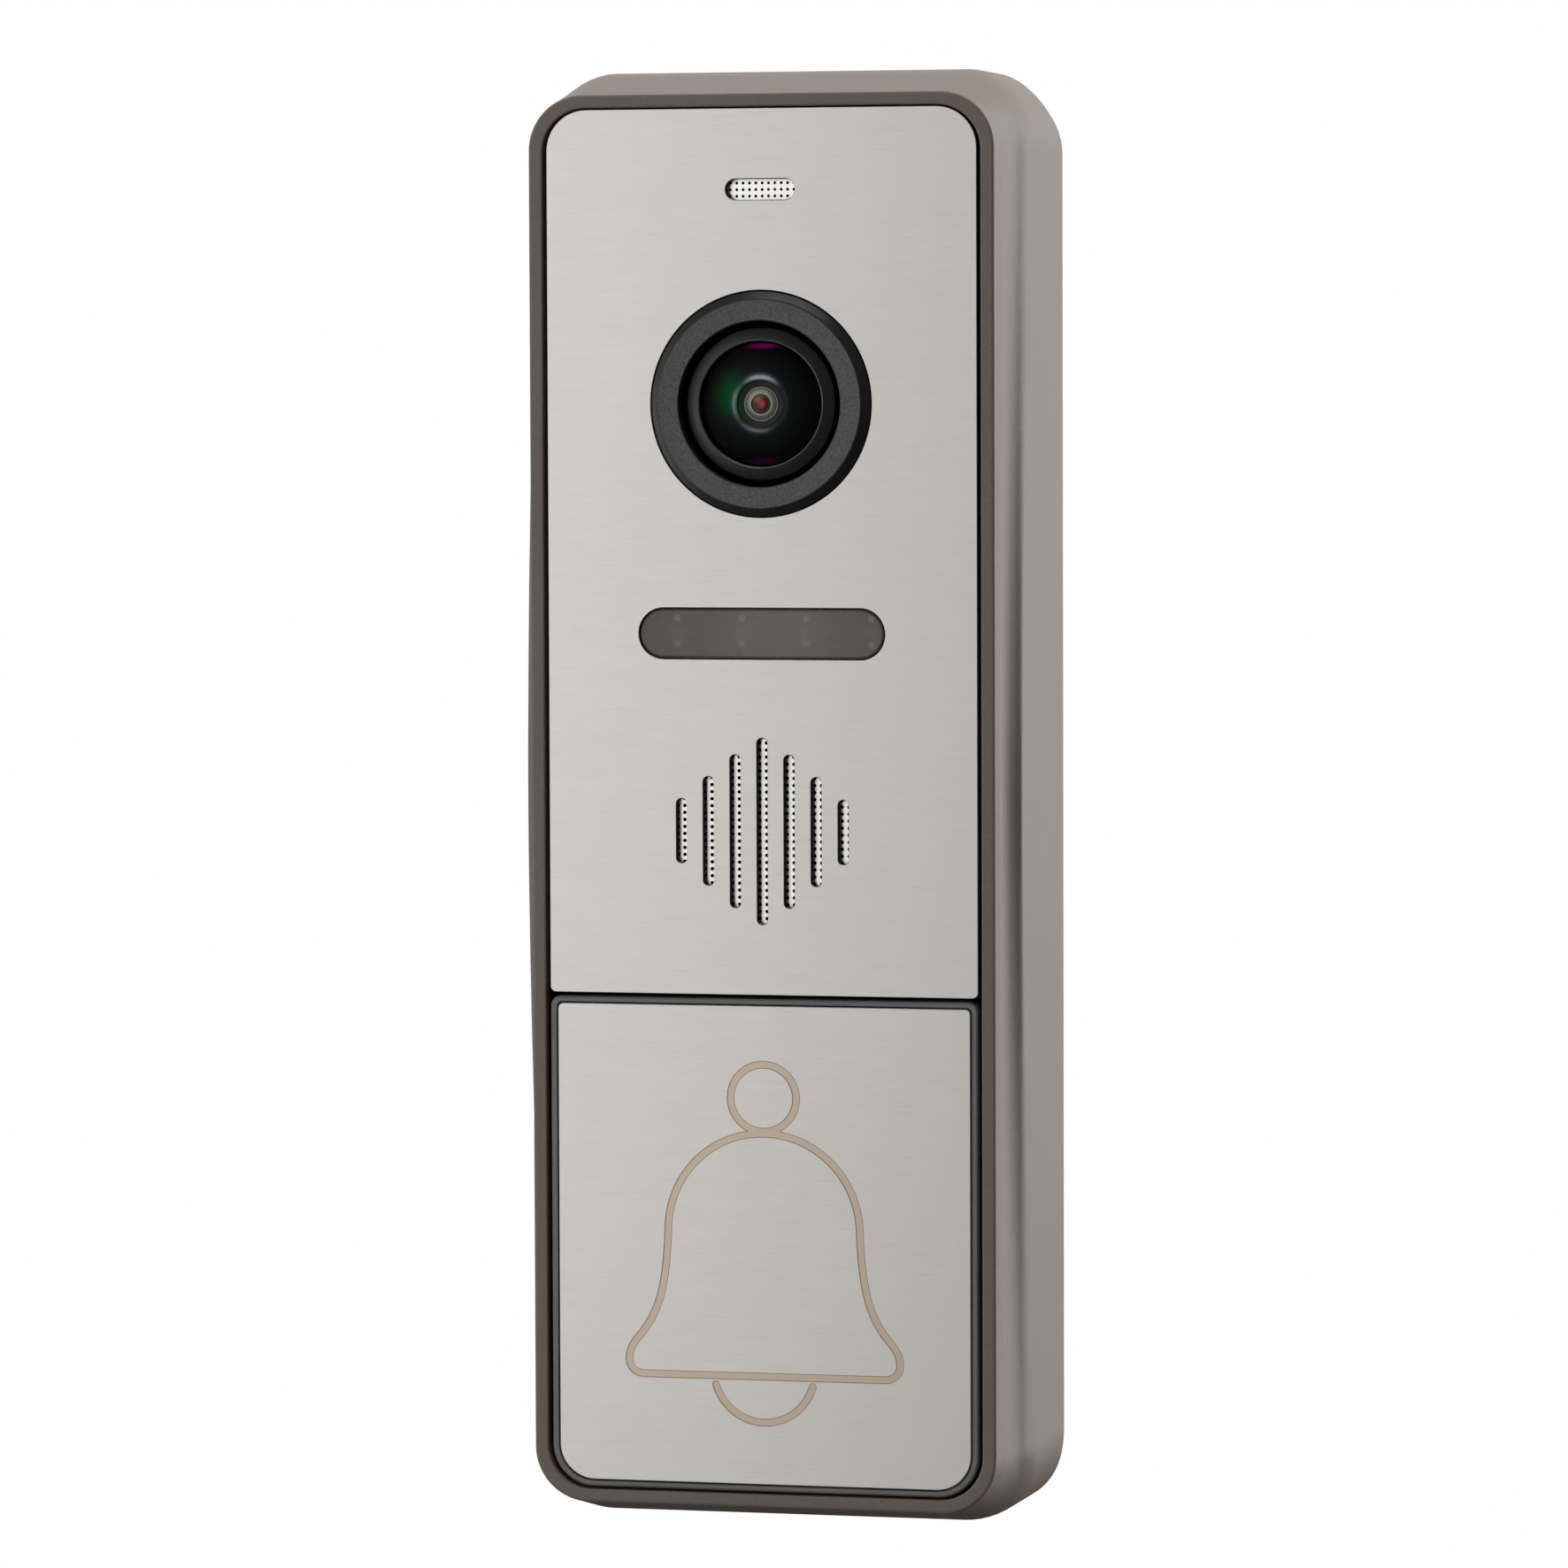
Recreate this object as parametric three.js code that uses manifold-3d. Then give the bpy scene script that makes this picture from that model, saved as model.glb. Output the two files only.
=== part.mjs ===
// Video doorbell: a wall-mounted call panel with a camera, a lamp window, a speaker and one call button.
// Units are millimetres and +Z is up. The front faces -Y, the wall is the plane Y = 0,
// and the origin is the centre of the wall face.
import * as THREE from "three";
import { mergeVertices } from "three/addons/utils/BufferGeometryUtils.js";
import Module from "manifold-3d";

const wasm = await Module();
wasm.setup();

// ---- driving dimensions ----

const GAP = 0.3; // assembly clearance between neighbouring pieces
const DETAIL = 16; // sides of a small round piece
const WIDE_DETAIL = 22; // sides of a larger round piece
const FINE_DETAIL = 30; // sides of a round piece at the front
const HOLE_DETAIL = 8; // sides of a screw and its hole
const POST_DETAIL = 12; // sides of a post
const CORNER_STEPS = 4;
const PAST = 1; // how far a cutting tool reaches past the face it cuts
const ROOTED = 0.5; // how deep a post is rooted in the wall it stands on

const FRONT_Y = -22; // front of the housing's rim
const HOUSING = {
  halfWidth: 21.05, // outer edge of the rim
  halfHeight: 62.55,
  radius: 4.9,
  rimWidth: 1.27,
  edgeRound: 0.28,
  creaseOut: 1.55, // how far the side's crease stands out from the rim
  backOut: 1.75,
  endOut: 2.35, // how far the top and bottom stand out
  topCornersIn: 0.38, // the corners are rounder at the top
  bottomCornersOut: 0.3, // and squarer at the bottom
  hollowMiddle: 0.86, // how deep the cove is, from 0 for flat to 1
  hollowEnds: 0.55,
  bowPower: 1.8, // how late the crease turns away towards the top and bottom
  creaseDepthMiddle: 4.3,
  creaseDepthEnds: 9.2,
  endDepth: 10.9,
  ledgeFront: -8.2,
  ledgeBack: -5.7,
};
const CORNER_BLOCK = { reach: 2.7, rooted: 0.5, front: -13.5, holeRadius: 1.5 };
const HOOK_POCKET = { halfWidth: 6.4, front: -5.4, back: -3.2, top: 64.2 };
const OPENING = {
  halfWidth: HOUSING.halfWidth - HOUSING.rimWidth,
  halfHeight: HOUSING.halfHeight - HOUSING.rimWidth + 0.22,
  radius: 3.95,
};
const LEDGE = { halfWidth: 18.9, halfHeight: 59.6, radius: 4 };
const REBATE = { halfWidth: 21, halfHeight: 63.1, radius: 5.6 };

const PLATE = {
  front: FRONT_Y + 0.2,
  thickness: 0.7,
  halfWidth: 19.45,
  top: 61.25,
  bottom: -16.94,
  radius: 3.65,
  squareRadius: 0.5,
};
const CARRIER = {
  front: PLATE.front,
  halfWidth: 19.45,
  top: -17.24,
  bottom: -61.15,
  wall: 0.62, // width of the band that shows around the button plate
  floorFront: -20.7,
  floorBack: -19.4,
  skirtEnd: -16.4,
  skirtWall: 1.25,
  topRadius: 0.8,
  bottomRadius: 3.75,
};
const BUTTON_Z = (CARRIER.top + CARRIER.bottom) / 2;
const PLATE_GAP = 0.2; // gap between the front plate and the camera's ring

// The button's skirt, recess and the parts moulded on its back.
const SKIRT = { radius: 0.5, bottomRadius: 2.5 };
const RECESS = { more: 0.06, radius: 0.4, bottomRadius: 3.2 };
const BUTTON_PLATE = { inset: 0.68, thickness: 0.8, radius: 0.5, bottomRadius: 3.2 };
const BUTTON_POST = { radius: 1.8, end: -14.3 };
const SPRING_PIN = { x: 11, radius: 1.6, end: -17.4 };
const HOOK = {
  x: 8,
  fromEnd: 4.5,
  halfWidth: 1.4,
  halfThickness: 0.55,
  barb: 1.5,
  length: 1.2, // how far it stands out behind the tray
  slotGap: 0.4,
};
const SPRING = { radius: 2.35, wire: 0.27, front: -18.85, length: 3.25, turns: 4 };

const FRAME = {
  front: PLATE.front + PLATE.thickness + 0.4,
  back: -18.4,
  radius: 0.5,
  trayFront: -15,
  trayBack: -13.8,
  partitionBottom: -16.94,
  partitionTop: -15.94,
};
const CASE_POST = {
  radius: 2.4,
  end: -13.8,
  trayEnd: -17.6,
  pilotRadius: 1.35,
  pilotFront: -17,
  pilotBack: -13,
};
const BOARD_POST = { radius: 2.1, pilotRadius: 1.15, pilotFront: -12.5, pilotBack: -7 };
const LAMP_POST = { x: 13.3, radius: 1.1, end: -16.9 };
const MIC_COLLAR = { inner: 4.5, outer: 5.5, end: -14.2 };
const SPEAKER_COLLAR = { inner: 12.35, outer: 13.2, end: -14.5 };
// Pockets in the frame's front face, and the openings through their floors.
const BEZEL_POCKET = { radius: 11.55, floor: -19.3, openRadius: 8.2 };
const LAMP_POCKET = {
  halfWidth: 12.65,
  halfHeight: 3.75,
  floor: -19.2,
  openHalfWidth: 10.9,
  openHalfHeight: 2,
};
const MIC_POCKET = { halfWidth: 4.55, halfHeight: 2.35, floor: -20.3, openRadius: 1.6 };
const SPEAKER_POCKET = { halfWidth: 9.6, halfHeight: 9.9, radius: 1.5, floor: -20.3, openRadius: 8.8 };
const POST_HOLE_RADIUS = 2.4;

const CAMERA_Z = 35.27;
const BEZEL = {
  radius: 9.95,
  faceRadius: 9.23,
  openRadius: 7.29,
  face: PLATE.front - 0.8,
  flangeRadius: 11.2,
  flangeThickness: 0.8,
  step: 0.35,
  stepDepth: 1.4,
};
const LENS = {
  ringRadius: 6.75,
  glassRadius: 5.5,
  seatRadius: 5.65,
  threadRadius: 6,
  domeRadius: 12.3,
  edge: -22.05, // where the dome meets the lens ring
  back: -20.1,
  hollowRadius: 3.9,
  hollowEdge: 3.6,
};
const BARREL = {
  neckBack: -17.2,
  back: -10.6,
  boreRadius: 2.6,
  boreFront: -18.4,
  coneRadius: 4.1,
  coneFront: -19.8,
};
const SMALL_LENS = { radius: 2.25, bulge: 0.5 };
const INNER_LENS = { front: -17.9, back: -16.6 };
const REAR_LENS = { front: -14.3, back: -12.6 };
const STOP = { radius: 0.9, front: -15.7, back: -15.3 };
const HOLDER = {
  tubeRadius: 7.4,
  tubeFront: -15.6,
  footHalfWidth: 8.5,
  footFront: -9.4,
  boreRadius: 6.35,
  boreBack: -10.3,
  windowHalfWidth: 4.2,
};
const FILTER = { halfWidth: 3.8, front: -10, back: -9.6 };
const SENSOR = { halfWidth: 3.6, halfHeight: 3.2, front: -8.9, back: -7.9 };
const MIC_Z = 54.1;
const MIC_SLOT = { halfWidth: 3.1, halfHeight: 0.9 };
const LAMP = { z: 15.03, halfWidth: 11.2, halfHeight: 2.32, pitch: 5.85 };
const LAMP_WINDOW = { gap: 0.08, sunk: 0.1, flangeHalfWidth: 12.3, flangeHalfHeight: 3.4, flangeBack: -19.5 };
const LAMP_BODY = { halfWidth: 1.5, halfHeight: 1.3, front: -18.2 };
const LAMP_BOARD = { halfWidth: 14.8, halfHeight: 3.1, front: -16.6, back: -15.6 };
const SPEAKER_Z = -2.43;
const SPEAKER_SLOTS = { width: 1.08, pitch: 2.448, heights: [16.5, 13.55, 9.65, 5.7] };
const MESH = { front: -20.95, back: -20.6 };
const MIC_MESH = { halfWidth: 4.2, halfHeight: 2 };
const MIC_CAPSULE = { radius: 3, front: -16.9, back: -14.4 };
const SPEAKER_MESH = { halfWidth: 9.3, halfHeight: 9.6, radius: 1.3 };
const GASKET = { inner: 10, outer: 11.9, front: -18.1, back: -17.3 };

const BOARD = { front: -7.6, back: -6, halfWidth: 17.5, halfHeight: 54.2, radius: 1.5, holeRadius: 1.2 };
const CABLE_SLOT = { halfWidth: 5, halfHeight: 3.2 };
const HEADER = { halfWidth: 5.2, low: 17.4, high: 22, front: -12.4, wall: 0.7, floor: -9 };
const VIDEO_CHIP = { left: -15, right: -7, low: 1, high: 9, front: -9.1 };
const CAPACITOR = { x: 13, z: 31, radius: 2.6, front: -13.6 };
const SWITCH = { halfWidth: 3, front: -12.1, boreRadius: 1.9, boreEnd: -8.3 };
const PLUNGER = { radius: 1.5, front: -14, back: -9.4 };
const COVER = { front: -4.4, back: -2.4, halfWidth: 20.6, halfHeight: 62.6, radius: 5.2, sinkFloor: -3.9 };
const NOTCH = { halfWidth: 7.3, low: 60.9, high: 64 };
const SEAL = { halfWidth: 19.9, halfHeight: 60.6, radius: 4.6, width: 0.8, front: -5.4, back: -4.7 };
const BRACKET = { front: -1.6, halfWidth: 18.5, halfHeight: 61, radius: 4, slotZ: 42 };
const BRACKET_SLOT = { halfWidth: 1.9, halfHeight: 4 };
const BRACKET_OPENING = { halfWidth: 11, low: 3, high: 34, radius: 3 };
const LIP = { halfWidth: 6, low: 61.4, high: 62.8, front: -5, hookBack: -3.6, hookTop: 63.9, rooted: 1 };
const SCREW = { slotHalfWidth: 0.2, slotShare: 0.6, headEdge: 0.2, point: 0.4, pointShare: 0.7 };
const CASE_SCREW = { x: 15.3, z: 57.2, shank: 1.05, headRadius: 2.1, front: -3.6, back: -2.5, tip: -16.4 };
const CASE_SCREW_HOLE = { radius: 1.5, sinkRadius: 2.6 };
const BOARD_SCREW = {
  x: 14.6,
  high: 45.5,
  low: -25,
  shank: 0.8,
  headRadius: 1.8,
  front: -5.9,
  back: -4.8,
  tip: -12,
};
const LOCK_SCREW = { y: -3.3, radius: 1, headRadius: 1.9, headHeight: 0.9, tip: -3.6, sunk: 0.05 };
const LOCK_HOLE = { radius: 1.4, recessRadius: 2.25, threadRadius: 1.3, length: 4 };
const CABLE_HOLE = { z: 13, radius: 3.2, coverRadius: 4.4 };
const TRIMMER = { x: -6, z: 27, halfWidth: 2.2, front: -5.7, back: -3.9, boreRadius: 1.85, boreFloor: -4.7 };
const ROTOR = {
  radius: 1.5,
  front: -4.4,
  back: -3.3,
  slotFloor: -3.75,
  slotHalfLength: 1.1,
  slotHalfWidth: 0.2,
};
const SLIDE_SWITCH = { x: 4.5, z: 27, travel: 2, halfWidth: 4.3, halfHeight: 2.1, front: -5.7, back: -3 };
const SLIDE_BORE = { halfWidth: 2.1, halfHeight: 1, floor: -4.4 };
const LEVER = { halfWidth: 0.7, front: -4.1, back: -2 };
const SETTING_WINDOW = { trimmerHalfWidth: 3.2, slideHalfWidth: 4.9, halfHeight: 3.2 };

// Sections of the turned pieces, as [radius, y] points.
const BOOT = [
  [1, -18.1],
  [4.2, -18.1],
  [4.2, -13.9],
  [3.35, -13.9],
  [3.35, -17.2],
  [1, -17.2],
];
const BASKET = [
  [10.4, -17],
  [12, -17],
  [12, -15.9],
  [9, -15.2],
  [6.6, -12.7],
  [3.4, -12.7],
  [3.4, -13.3],
  [6.2, -13.3],
  [8.6, -15.9],
  [10.4, -16.2],
];
const CONE = [
  [0, -16.4],
  [2, -16],
  [3, -14.9],
  [8, -16.6],
  [9.1, -17],
  [10.1, -16.7],
  [10.1, -16.4],
  [9.1, -16.6],
  [8, -16.2],
  [3.1, -14.4],
  [2.7, -14.4],
  [1.7, -15.6],
  [0, -16],
];
const MAGNET = [
  [0, -12.1],
  [2.4, -12.1],
  [2.4, -12.4],
  [6, -12.4],
  [6, -10.2],
  [5.4, -9.6],
  [0, -9.6],
];
const GROMMET = [
  [CABLE_HOLE.radius, -5],
  [5.3, -5],
  [5.3, -4.7],
  [4.1, -4.7],
  [4.1, -2.1],
  [5.3, -2.1],
  [5.3, -1.9],
  [CABLE_HOLE.radius, -1.9],
];

// ---- finishes ----

const FINISHES = {
  casting: { color: 0x8f857c, roughness: 0.55, metalness: 0.6 },
  brushedSteel: { color: 0xc4c0b8, roughness: 0.35, metalness: 0.95 },
  blackPlastic: { color: 0x1c1c1c, roughness: 0.6, metalness: 0 },
  smokedPlastic: { color: 0x4a4846, roughness: 0.3, metalness: 0 },
  lampPlastic: { color: 0x615c58, roughness: 0.35, metalness: 0 },
  anodised: { color: 0x2a2a2c, roughness: 0.35, metalness: 0.7 },
  glass: { color: 0x0e1a18, roughness: 0.05, metalness: 0 },
  mesh: { color: 0xe6e4e0, roughness: 0.35, metalness: 0.95 },
  rubber: { color: 0x202020, roughness: 0.9, metalness: 0 },
  board: { color: 0x1d5a35, roughness: 0.5, metalness: 0 },
  chip: { color: 0x18181a, roughness: 0.5, metalness: 0 },
  whitePlastic: { color: 0xe8e6df, roughness: 0.5, metalness: 0 },
  lamp: { color: 0xf0e6b0, roughness: 0.3, metalness: 0 },
  zinc: { color: 0xb9bbbd, roughness: 0.4, metalness: 0.9 },
  paper: { color: 0x2b2a28, roughness: 0.9, metalness: 0 },
  magnet: { color: 0x8f9194, roughness: 0.35, metalness: 0.9 },
};

// ---- geometry helpers ----

// A closed geometry as a solid that can be joined and cut.
function solid(geometry) {
  const bare = geometry.clone();
  bare.deleteAttribute("normal");
  bare.deleteAttribute("uv");
  const merged = mergeVertices(bare, 1e-4);
  return new wasm.Manifold(
    new wasm.Mesh({
      numProp: 3,
      vertProperties: new Float32Array(merged.attributes.position.array),
      triVerts: new Uint32Array(merged.index.array),
    }),
  );
}

// The geometry of a solid.
function geometryOf(body) {
  const mesh = body.getMesh();
  const geometry = new THREE.BufferGeometry();
  geometry.setAttribute("position", new THREE.BufferAttribute(mesh.vertProperties, 3));
  geometry.setIndex(new THREE.BufferAttribute(mesh.triVerts, 1));
  geometry.computeVertexNormals();
  return geometry;
}

function joined(first, ...others) {
  return others.reduce((body, other) => body.add(other), first);
}

function cut(first, ...others) {
  return others.reduce((body, other) => body.subtract(other), first);
}

// A shape drawn in X and Z, extruded from yFront to yBack.
function slab(shape, yFront, yBack, steps = CORNER_STEPS) {
  const geometry = new THREE.ExtrudeGeometry(shape, {
    depth: yBack - yFront,
    bevelEnabled: false,
    curveSegments: steps,
  });
  geometry.rotateX(Math.PI / 2);
  geometry.translate(0, yBack, 0);
  return solid(geometry);
}

// A rectangle in X and Z with its own radius at the top corners and at the bottom ones.
function roundedRectangle(left, right, bottom, top, topRadius, bottomRadius = topRadius) {
  const quarter = Math.PI / 2;
  const shape = new THREE.Shape();
  shape.moveTo(left + bottomRadius, bottom);
  shape.absarc(right - bottomRadius, bottom + bottomRadius, bottomRadius, -quarter, 0);
  shape.absarc(right - topRadius, top - topRadius, topRadius, 0, quarter);
  shape.absarc(left + topRadius, top - topRadius, topRadius, quarter, 2 * quarter);
  shape.absarc(left + bottomRadius, bottom + bottomRadius, bottomRadius, 2 * quarter, 3 * quarter);
  return shape;
}

// A rounded rectangle centred on the origin's column, from its half sizes.
function centredRectangle({ halfWidth, halfHeight, radius }) {
  return roundedRectangle(-halfWidth, halfWidth, -halfHeight, halfHeight, radius);
}

// A slot with round ends, standing or lying, around (x, z).
function pill(x, z, halfWidth, halfHeight) {
  const radius = Math.min(halfWidth, halfHeight) - 1e-3;
  return roundedRectangle(x - halfWidth, x + halfWidth, z - halfHeight, z + halfHeight, radius);
}

function box(x0, x1, y0, y1, z0, z1) {
  const geometry = new THREE.BoxGeometry(x1 - x0, y1 - y0, z1 - z0);
  geometry.translate((x0 + x1) / 2, (y0 + y1) / 2, (z0 + z1) / 2);
  return solid(geometry);
}

// A round bar along Y around (x, z).
function rod(x, z, radius, yFront, yBack, sides = DETAIL) {
  const geometry = new THREE.CylinderGeometry(radius, radius, yBack - yFront, sides);
  geometry.translate(x, (yFront + yBack) / 2, z);
  return solid(geometry);
}

// A solid turned around the Y axis from [radius, y] points, then moved up to z.
function turned(profile, z = 0, sides = DETAIL) {
  const points = profile.map(([radius, y]) => new THREE.Vector2(radius, y));
  const first = profile[0];
  const last = profile[profile.length - 1];
  const meetsAxis = first[0] === 0 && last[0] === 0;
  if (!meetsAxis) points.push(points[0].clone());
  const geometry = new THREE.LatheGeometry(points, sides);
  geometry.translate(0, 0, z);
  return solid(geometry);
}

// A box that is mirrored to one side of the middle in Z.
function sidedBox(x0, x1, y0, y1, side, inner, outer) {
  const ends = [side * inner, side * outer].sort((a, b) => a - b);
  return box(x0, x1, y0, y1, ...ends);
}

// Points of an arc in a turned profile: centre (0, centreY), from angle a to angle b off the Y axis.
function arc(radius, centreY, a, b, steps) {
  return Array.from({ length: steps + 1 }, (_, i) => {
    const angle = a + ((b - a) * i) / steps;
    return [radius * Math.sin(angle), centreY - radius * Math.cos(angle)];
  });
}

const root = new THREE.Group();
root.name = "video_doorbell";

// Adds a piece to the assembly. The body is drawn around `at`, where the mesh is placed.
function piece(name, body, finish, at = [0, 0, 0], parent = root) {
  const geometry = body.isBufferGeometry ? body : geometryOf(body);
  const mesh = new THREE.Mesh(geometry, new THREE.MeshStandardMaterial(FINISHES[finish]));
  mesh.name = name;
  mesh.position.set(...at);
  parent.add(mesh);
  return mesh;
}

// ---- housing ----

// Points and outward normals of the rim's outer outline, split finely enough for the bowed sides.
function housingOutline() {
  const { halfWidth, halfHeight, radius } = HOUSING;
  const sideSteps = 8;
  const endSteps = 2;
  const cornerSteps = 5;
  const corners = [
    [halfWidth - radius, -halfHeight + radius],
    [halfWidth - radius, halfHeight - radius],
    [-halfWidth + radius, halfHeight - radius],
    [-halfWidth + radius, -halfHeight + radius],
  ];
  const points = [];
  corners.forEach(([x, z], side) => {
    const start = (side - 1) * (Math.PI / 2);
    for (let i = 0; i <= cornerSteps; i++) {
      const angle = start + (i / cornerSteps) * (Math.PI / 2);
      const normal = new THREE.Vector2(Math.cos(angle), Math.sin(angle));
      points.push({ place: new THREE.Vector2(x, z).addScaledVector(normal, radius), normal });
    }
    const [nextX, nextZ] = corners[(side + 1) % corners.length];
    const steps = side % 2 === 0 ? sideSteps : endSteps;
    const normal = points[points.length - 1].normal;
    for (let i = 1; i < steps; i++) {
      const place = new THREE.Vector2(x, z).lerp(new THREE.Vector2(nextX, nextZ), i / steps);
      points.push({ place: place.addScaledVector(normal, radius), normal });
    }
  });
  return points;
}

// The outer skin's section at one point of the outline, as [outward, y] pairs from rim to wall.
// The sides have a hollow cove that ends in a crease. It fades towards the top and bottom,
// which slope straight out.
function housingSection({ place, normal }) {
  const { edgeRound, creaseOut, backOut, endOut, creaseDepthMiddle, creaseDepthEnds, endDepth } = HOUSING;
  const { topCornersIn, bottomCornersOut, hollowMiddle, hollowEnds, bowPower } = HOUSING;
  const coveSteps = 5;
  const height = Math.abs(place.y) / HOUSING.halfHeight;
  const end = THREE.MathUtils.smoothstep(Math.abs(normal.y), 0, 1);
  const bow = Math.pow(height, bowPower);
  const sideDepth = THREE.MathUtils.lerp(creaseDepthMiddle, creaseDepthEnds, bow);
  const depth = THREE.MathUtils.lerp(sideDepth, endDepth, end);
  const flare = normal.y ** 2;
  const corner = 4 * (normal.x * normal.y) ** 2; // 1 halfway round a corner, 0 on the flats
  const inwards = place.y > 0 ? topCornersIn * corner : 0;
  const outwards = place.y > 0 ? 0 : bottomCornersOut * corner;
  const out = THREE.MathUtils.lerp(creaseOut, endOut, flare) - inwards;
  const back = THREE.MathUtils.lerp(backOut, endOut, flare) - inwards + outwards;
  const hollow = THREE.MathUtils.lerp(hollowMiddle, hollowEnds, bow) * (1 - end);
  const start = new THREE.Vector2(0, edgeRound);
  const crease = new THREE.Vector2(out, depth);
  const middle = start.clone().lerp(crease, 0.5);
  const control = middle.lerp(new THREE.Vector2(0, depth), hollow);
  const cove = new THREE.QuadraticBezierCurve(start, control, crease).getPoints(coveSteps);
  const section = [[-edgeRound, 0], [-0.3 * edgeRound, 0.3 * edgeRound], ...cove.map((p) => [p.x, p.y])];
  section.push([back, -FRONT_Y]);
  return section.map(([outward, fromRim]) => [outward, FRONT_Y + fromRim]);
}

// The solid inside the outer skin, lofted through every section and capped front and back.
function housingBlock() {
  const outline = housingOutline();
  const sections = outline.map(housingSection);
  const rings = sections[0].length;
  const count = outline.length;
  const positions = [];
  for (let ring = 0; ring < rings; ring++)
    outline.forEach(({ place, normal }, i) => {
      const [outward, y] = sections[i][ring];
      positions.push(place.x + normal.x * outward, y, place.y + normal.y * outward);
    });
  positions.push(0, FRONT_Y, 0, 0, 0, 0);
  const frontCentre = rings * count;
  const backCentre = frontCentre + 1;
  const index = [];
  for (let i = 0; i < count; i++) {
    const j = (i + 1) % count;
    index.push(frontCentre, i, j);
    for (let ring = 0; ring + 1 < rings; ring++) {
      const a = ring * count;
      const b = a + count;
      index.push(a + i, b + i, b + j, a + i, b + j, a + j);
    }
    index.push(backCentre, (rings - 1) * count + j, (rings - 1) * count + i);
  }
  const geometry = new THREE.BufferGeometry();
  geometry.setAttribute("position", new THREE.Float32BufferAttribute(positions, 3));
  geometry.setIndex(index);
  return solid(geometry);
}

// The four corner blocks take the case screws.
function cornerBlock(sideX, sideZ) {
  const { reach, rooted, front } = CORNER_BLOCK;
  const x = [sideX * (CASE_SCREW.x - reach), sideX * (OPENING.halfWidth + rooted)];
  const low = CASE_SCREW.z - reach;
  const high = OPENING.halfHeight + rooted;
  return sidedBox(Math.min(...x), Math.max(...x), front, HOUSING.ledgeBack - GAP, sideZ, low, high);
}

const CORNERS = [
  [-1, 1],
  [1, 1],
  [-1, -1],
  [1, -1],
];

const HOUSING_BOTTOM = -(HOUSING.halfHeight + HOUSING.endOut);

// An upright round bar on the locking screw's axis.
function lockRod(radius, bottom, top) {
  const geometry = new THREE.CylinderGeometry(radius, radius, top - bottom, DETAIL);
  geometry.rotateX(Math.PI / 2);
  geometry.translate(0, LOCK_SCREW.y, (bottom + top) / 2);
  return solid(geometry);
}

function housing() {
  const { ledgeFront, ledgeBack } = HOUSING;
  const cavity = slab(centredRectangle(OPENING), FRONT_Y - PAST, ledgeFront);
  const ledge = slab(centredRectangle(LEDGE), ledgeFront - PAST, ledgeBack + PAST);
  const rebate = slab(centredRectangle(REBATE), ledgeBack, PAST);
  const { halfWidth, front, back, top } = HOOK_POCKET;
  const hookPocket = box(-halfWidth, halfWidth, front, back, LIP.high, top);
  const below = HOUSING_BOTTOM - PAST;
  const lockHole = lockRod(LOCK_HOLE.radius, below, below + LOCK_HOLE.length);
  const lockRecess = lockRod(LOCK_HOLE.recessRadius, below, HOUSING_BOTTOM + LOCK_SCREW.headHeight + GAP);
  const shell = cut(housingBlock(), cavity, ledge, rebate, hookPocket, lockHole, lockRecess);
  const blocks = CORNERS.map(([x, z]) => cornerBlock(x, z));
  const holeFront = CORNER_BLOCK.front - PAST;
  const holes = CORNERS.map(([x, z]) =>
    rod(x * CASE_SCREW.x, z * CASE_SCREW.z, CORNER_BLOCK.holeRadius, holeFront, 0, HOLE_DETAIL),
  );
  return cut(joined(shell, ...blocks), ...holes);
}

piece("housing", housing(), "casting");

// ---- front plate and the frame behind it ----

function speakerSlots(extra) {
  const { width, pitch, heights } = SPEAKER_SLOTS;
  const slots = [];
  for (let column = -3; column <= 3; column++) {
    const halfHeight = heights[Math.abs(column)] / 2 + extra;
    slots.push(pill(column * pitch, SPEAKER_Z, width / 2 + extra, halfHeight));
  }
  return slots;
}

function frontPlate() {
  const { halfWidth, bottom, top, radius, squareRadius, front, thickness } = PLATE;
  const shape = roundedRectangle(-halfWidth, halfWidth, bottom, top, radius, squareRadius);
  shape.holes.push(
    ...speakerSlots(0),
    pill(0, MIC_Z, MIC_SLOT.halfWidth, MIC_SLOT.halfHeight),
    pill(0, LAMP.z, LAMP.halfWidth + LAMP_WINDOW.gap / 2, LAMP.halfHeight + LAMP_WINDOW.gap / 2),
  );
  const plate = slab(shape, front, front + thickness, 3);
  const holeRadius = BEZEL.radius + PLATE_GAP;
  const cameraHole = rod(0, CAMERA_Z, holeRadius, front - PAST, front + thickness + PAST, FINE_DETAIL);
  return cut(plate, cameraHole);
}

piece("front_plate", frontPlate(), "brushedSteel");

// Black moulding that holds everything behind the plate, with a tray behind the button.
function frameBody() {
  const { front, back, radius, trayFront, trayBack, partitionBottom, partitionTop } = FRAME;
  const halfWidth = PLATE.halfWidth;
  const upper = roundedRectangle(-halfWidth, halfWidth, partitionBottom, PLATE.top, PLATE.radius, radius);
  const lower = roundedRectangle(-halfWidth, halfWidth, CARRIER.bottom, partitionTop, radius, PLATE.radius);
  const partition = box(-halfWidth, halfWidth, front, trayBack, partitionBottom, partitionTop);
  const collar = ({ inner, outer, end }, z, sides) =>
    turned([[inner, back - ROOTED], [outer, back - ROOTED], [outer, end], [inner, end]], z, sides);
  return joined(
    slab(upper, front, back),
    slab(lower, trayFront, trayBack),
    partition,
    collar(MIC_COLLAR, MIC_Z, DETAIL),
    collar(SPEAKER_COLLAR, SPEAKER_Z, WIDE_DETAIL),
  );
}

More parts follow.
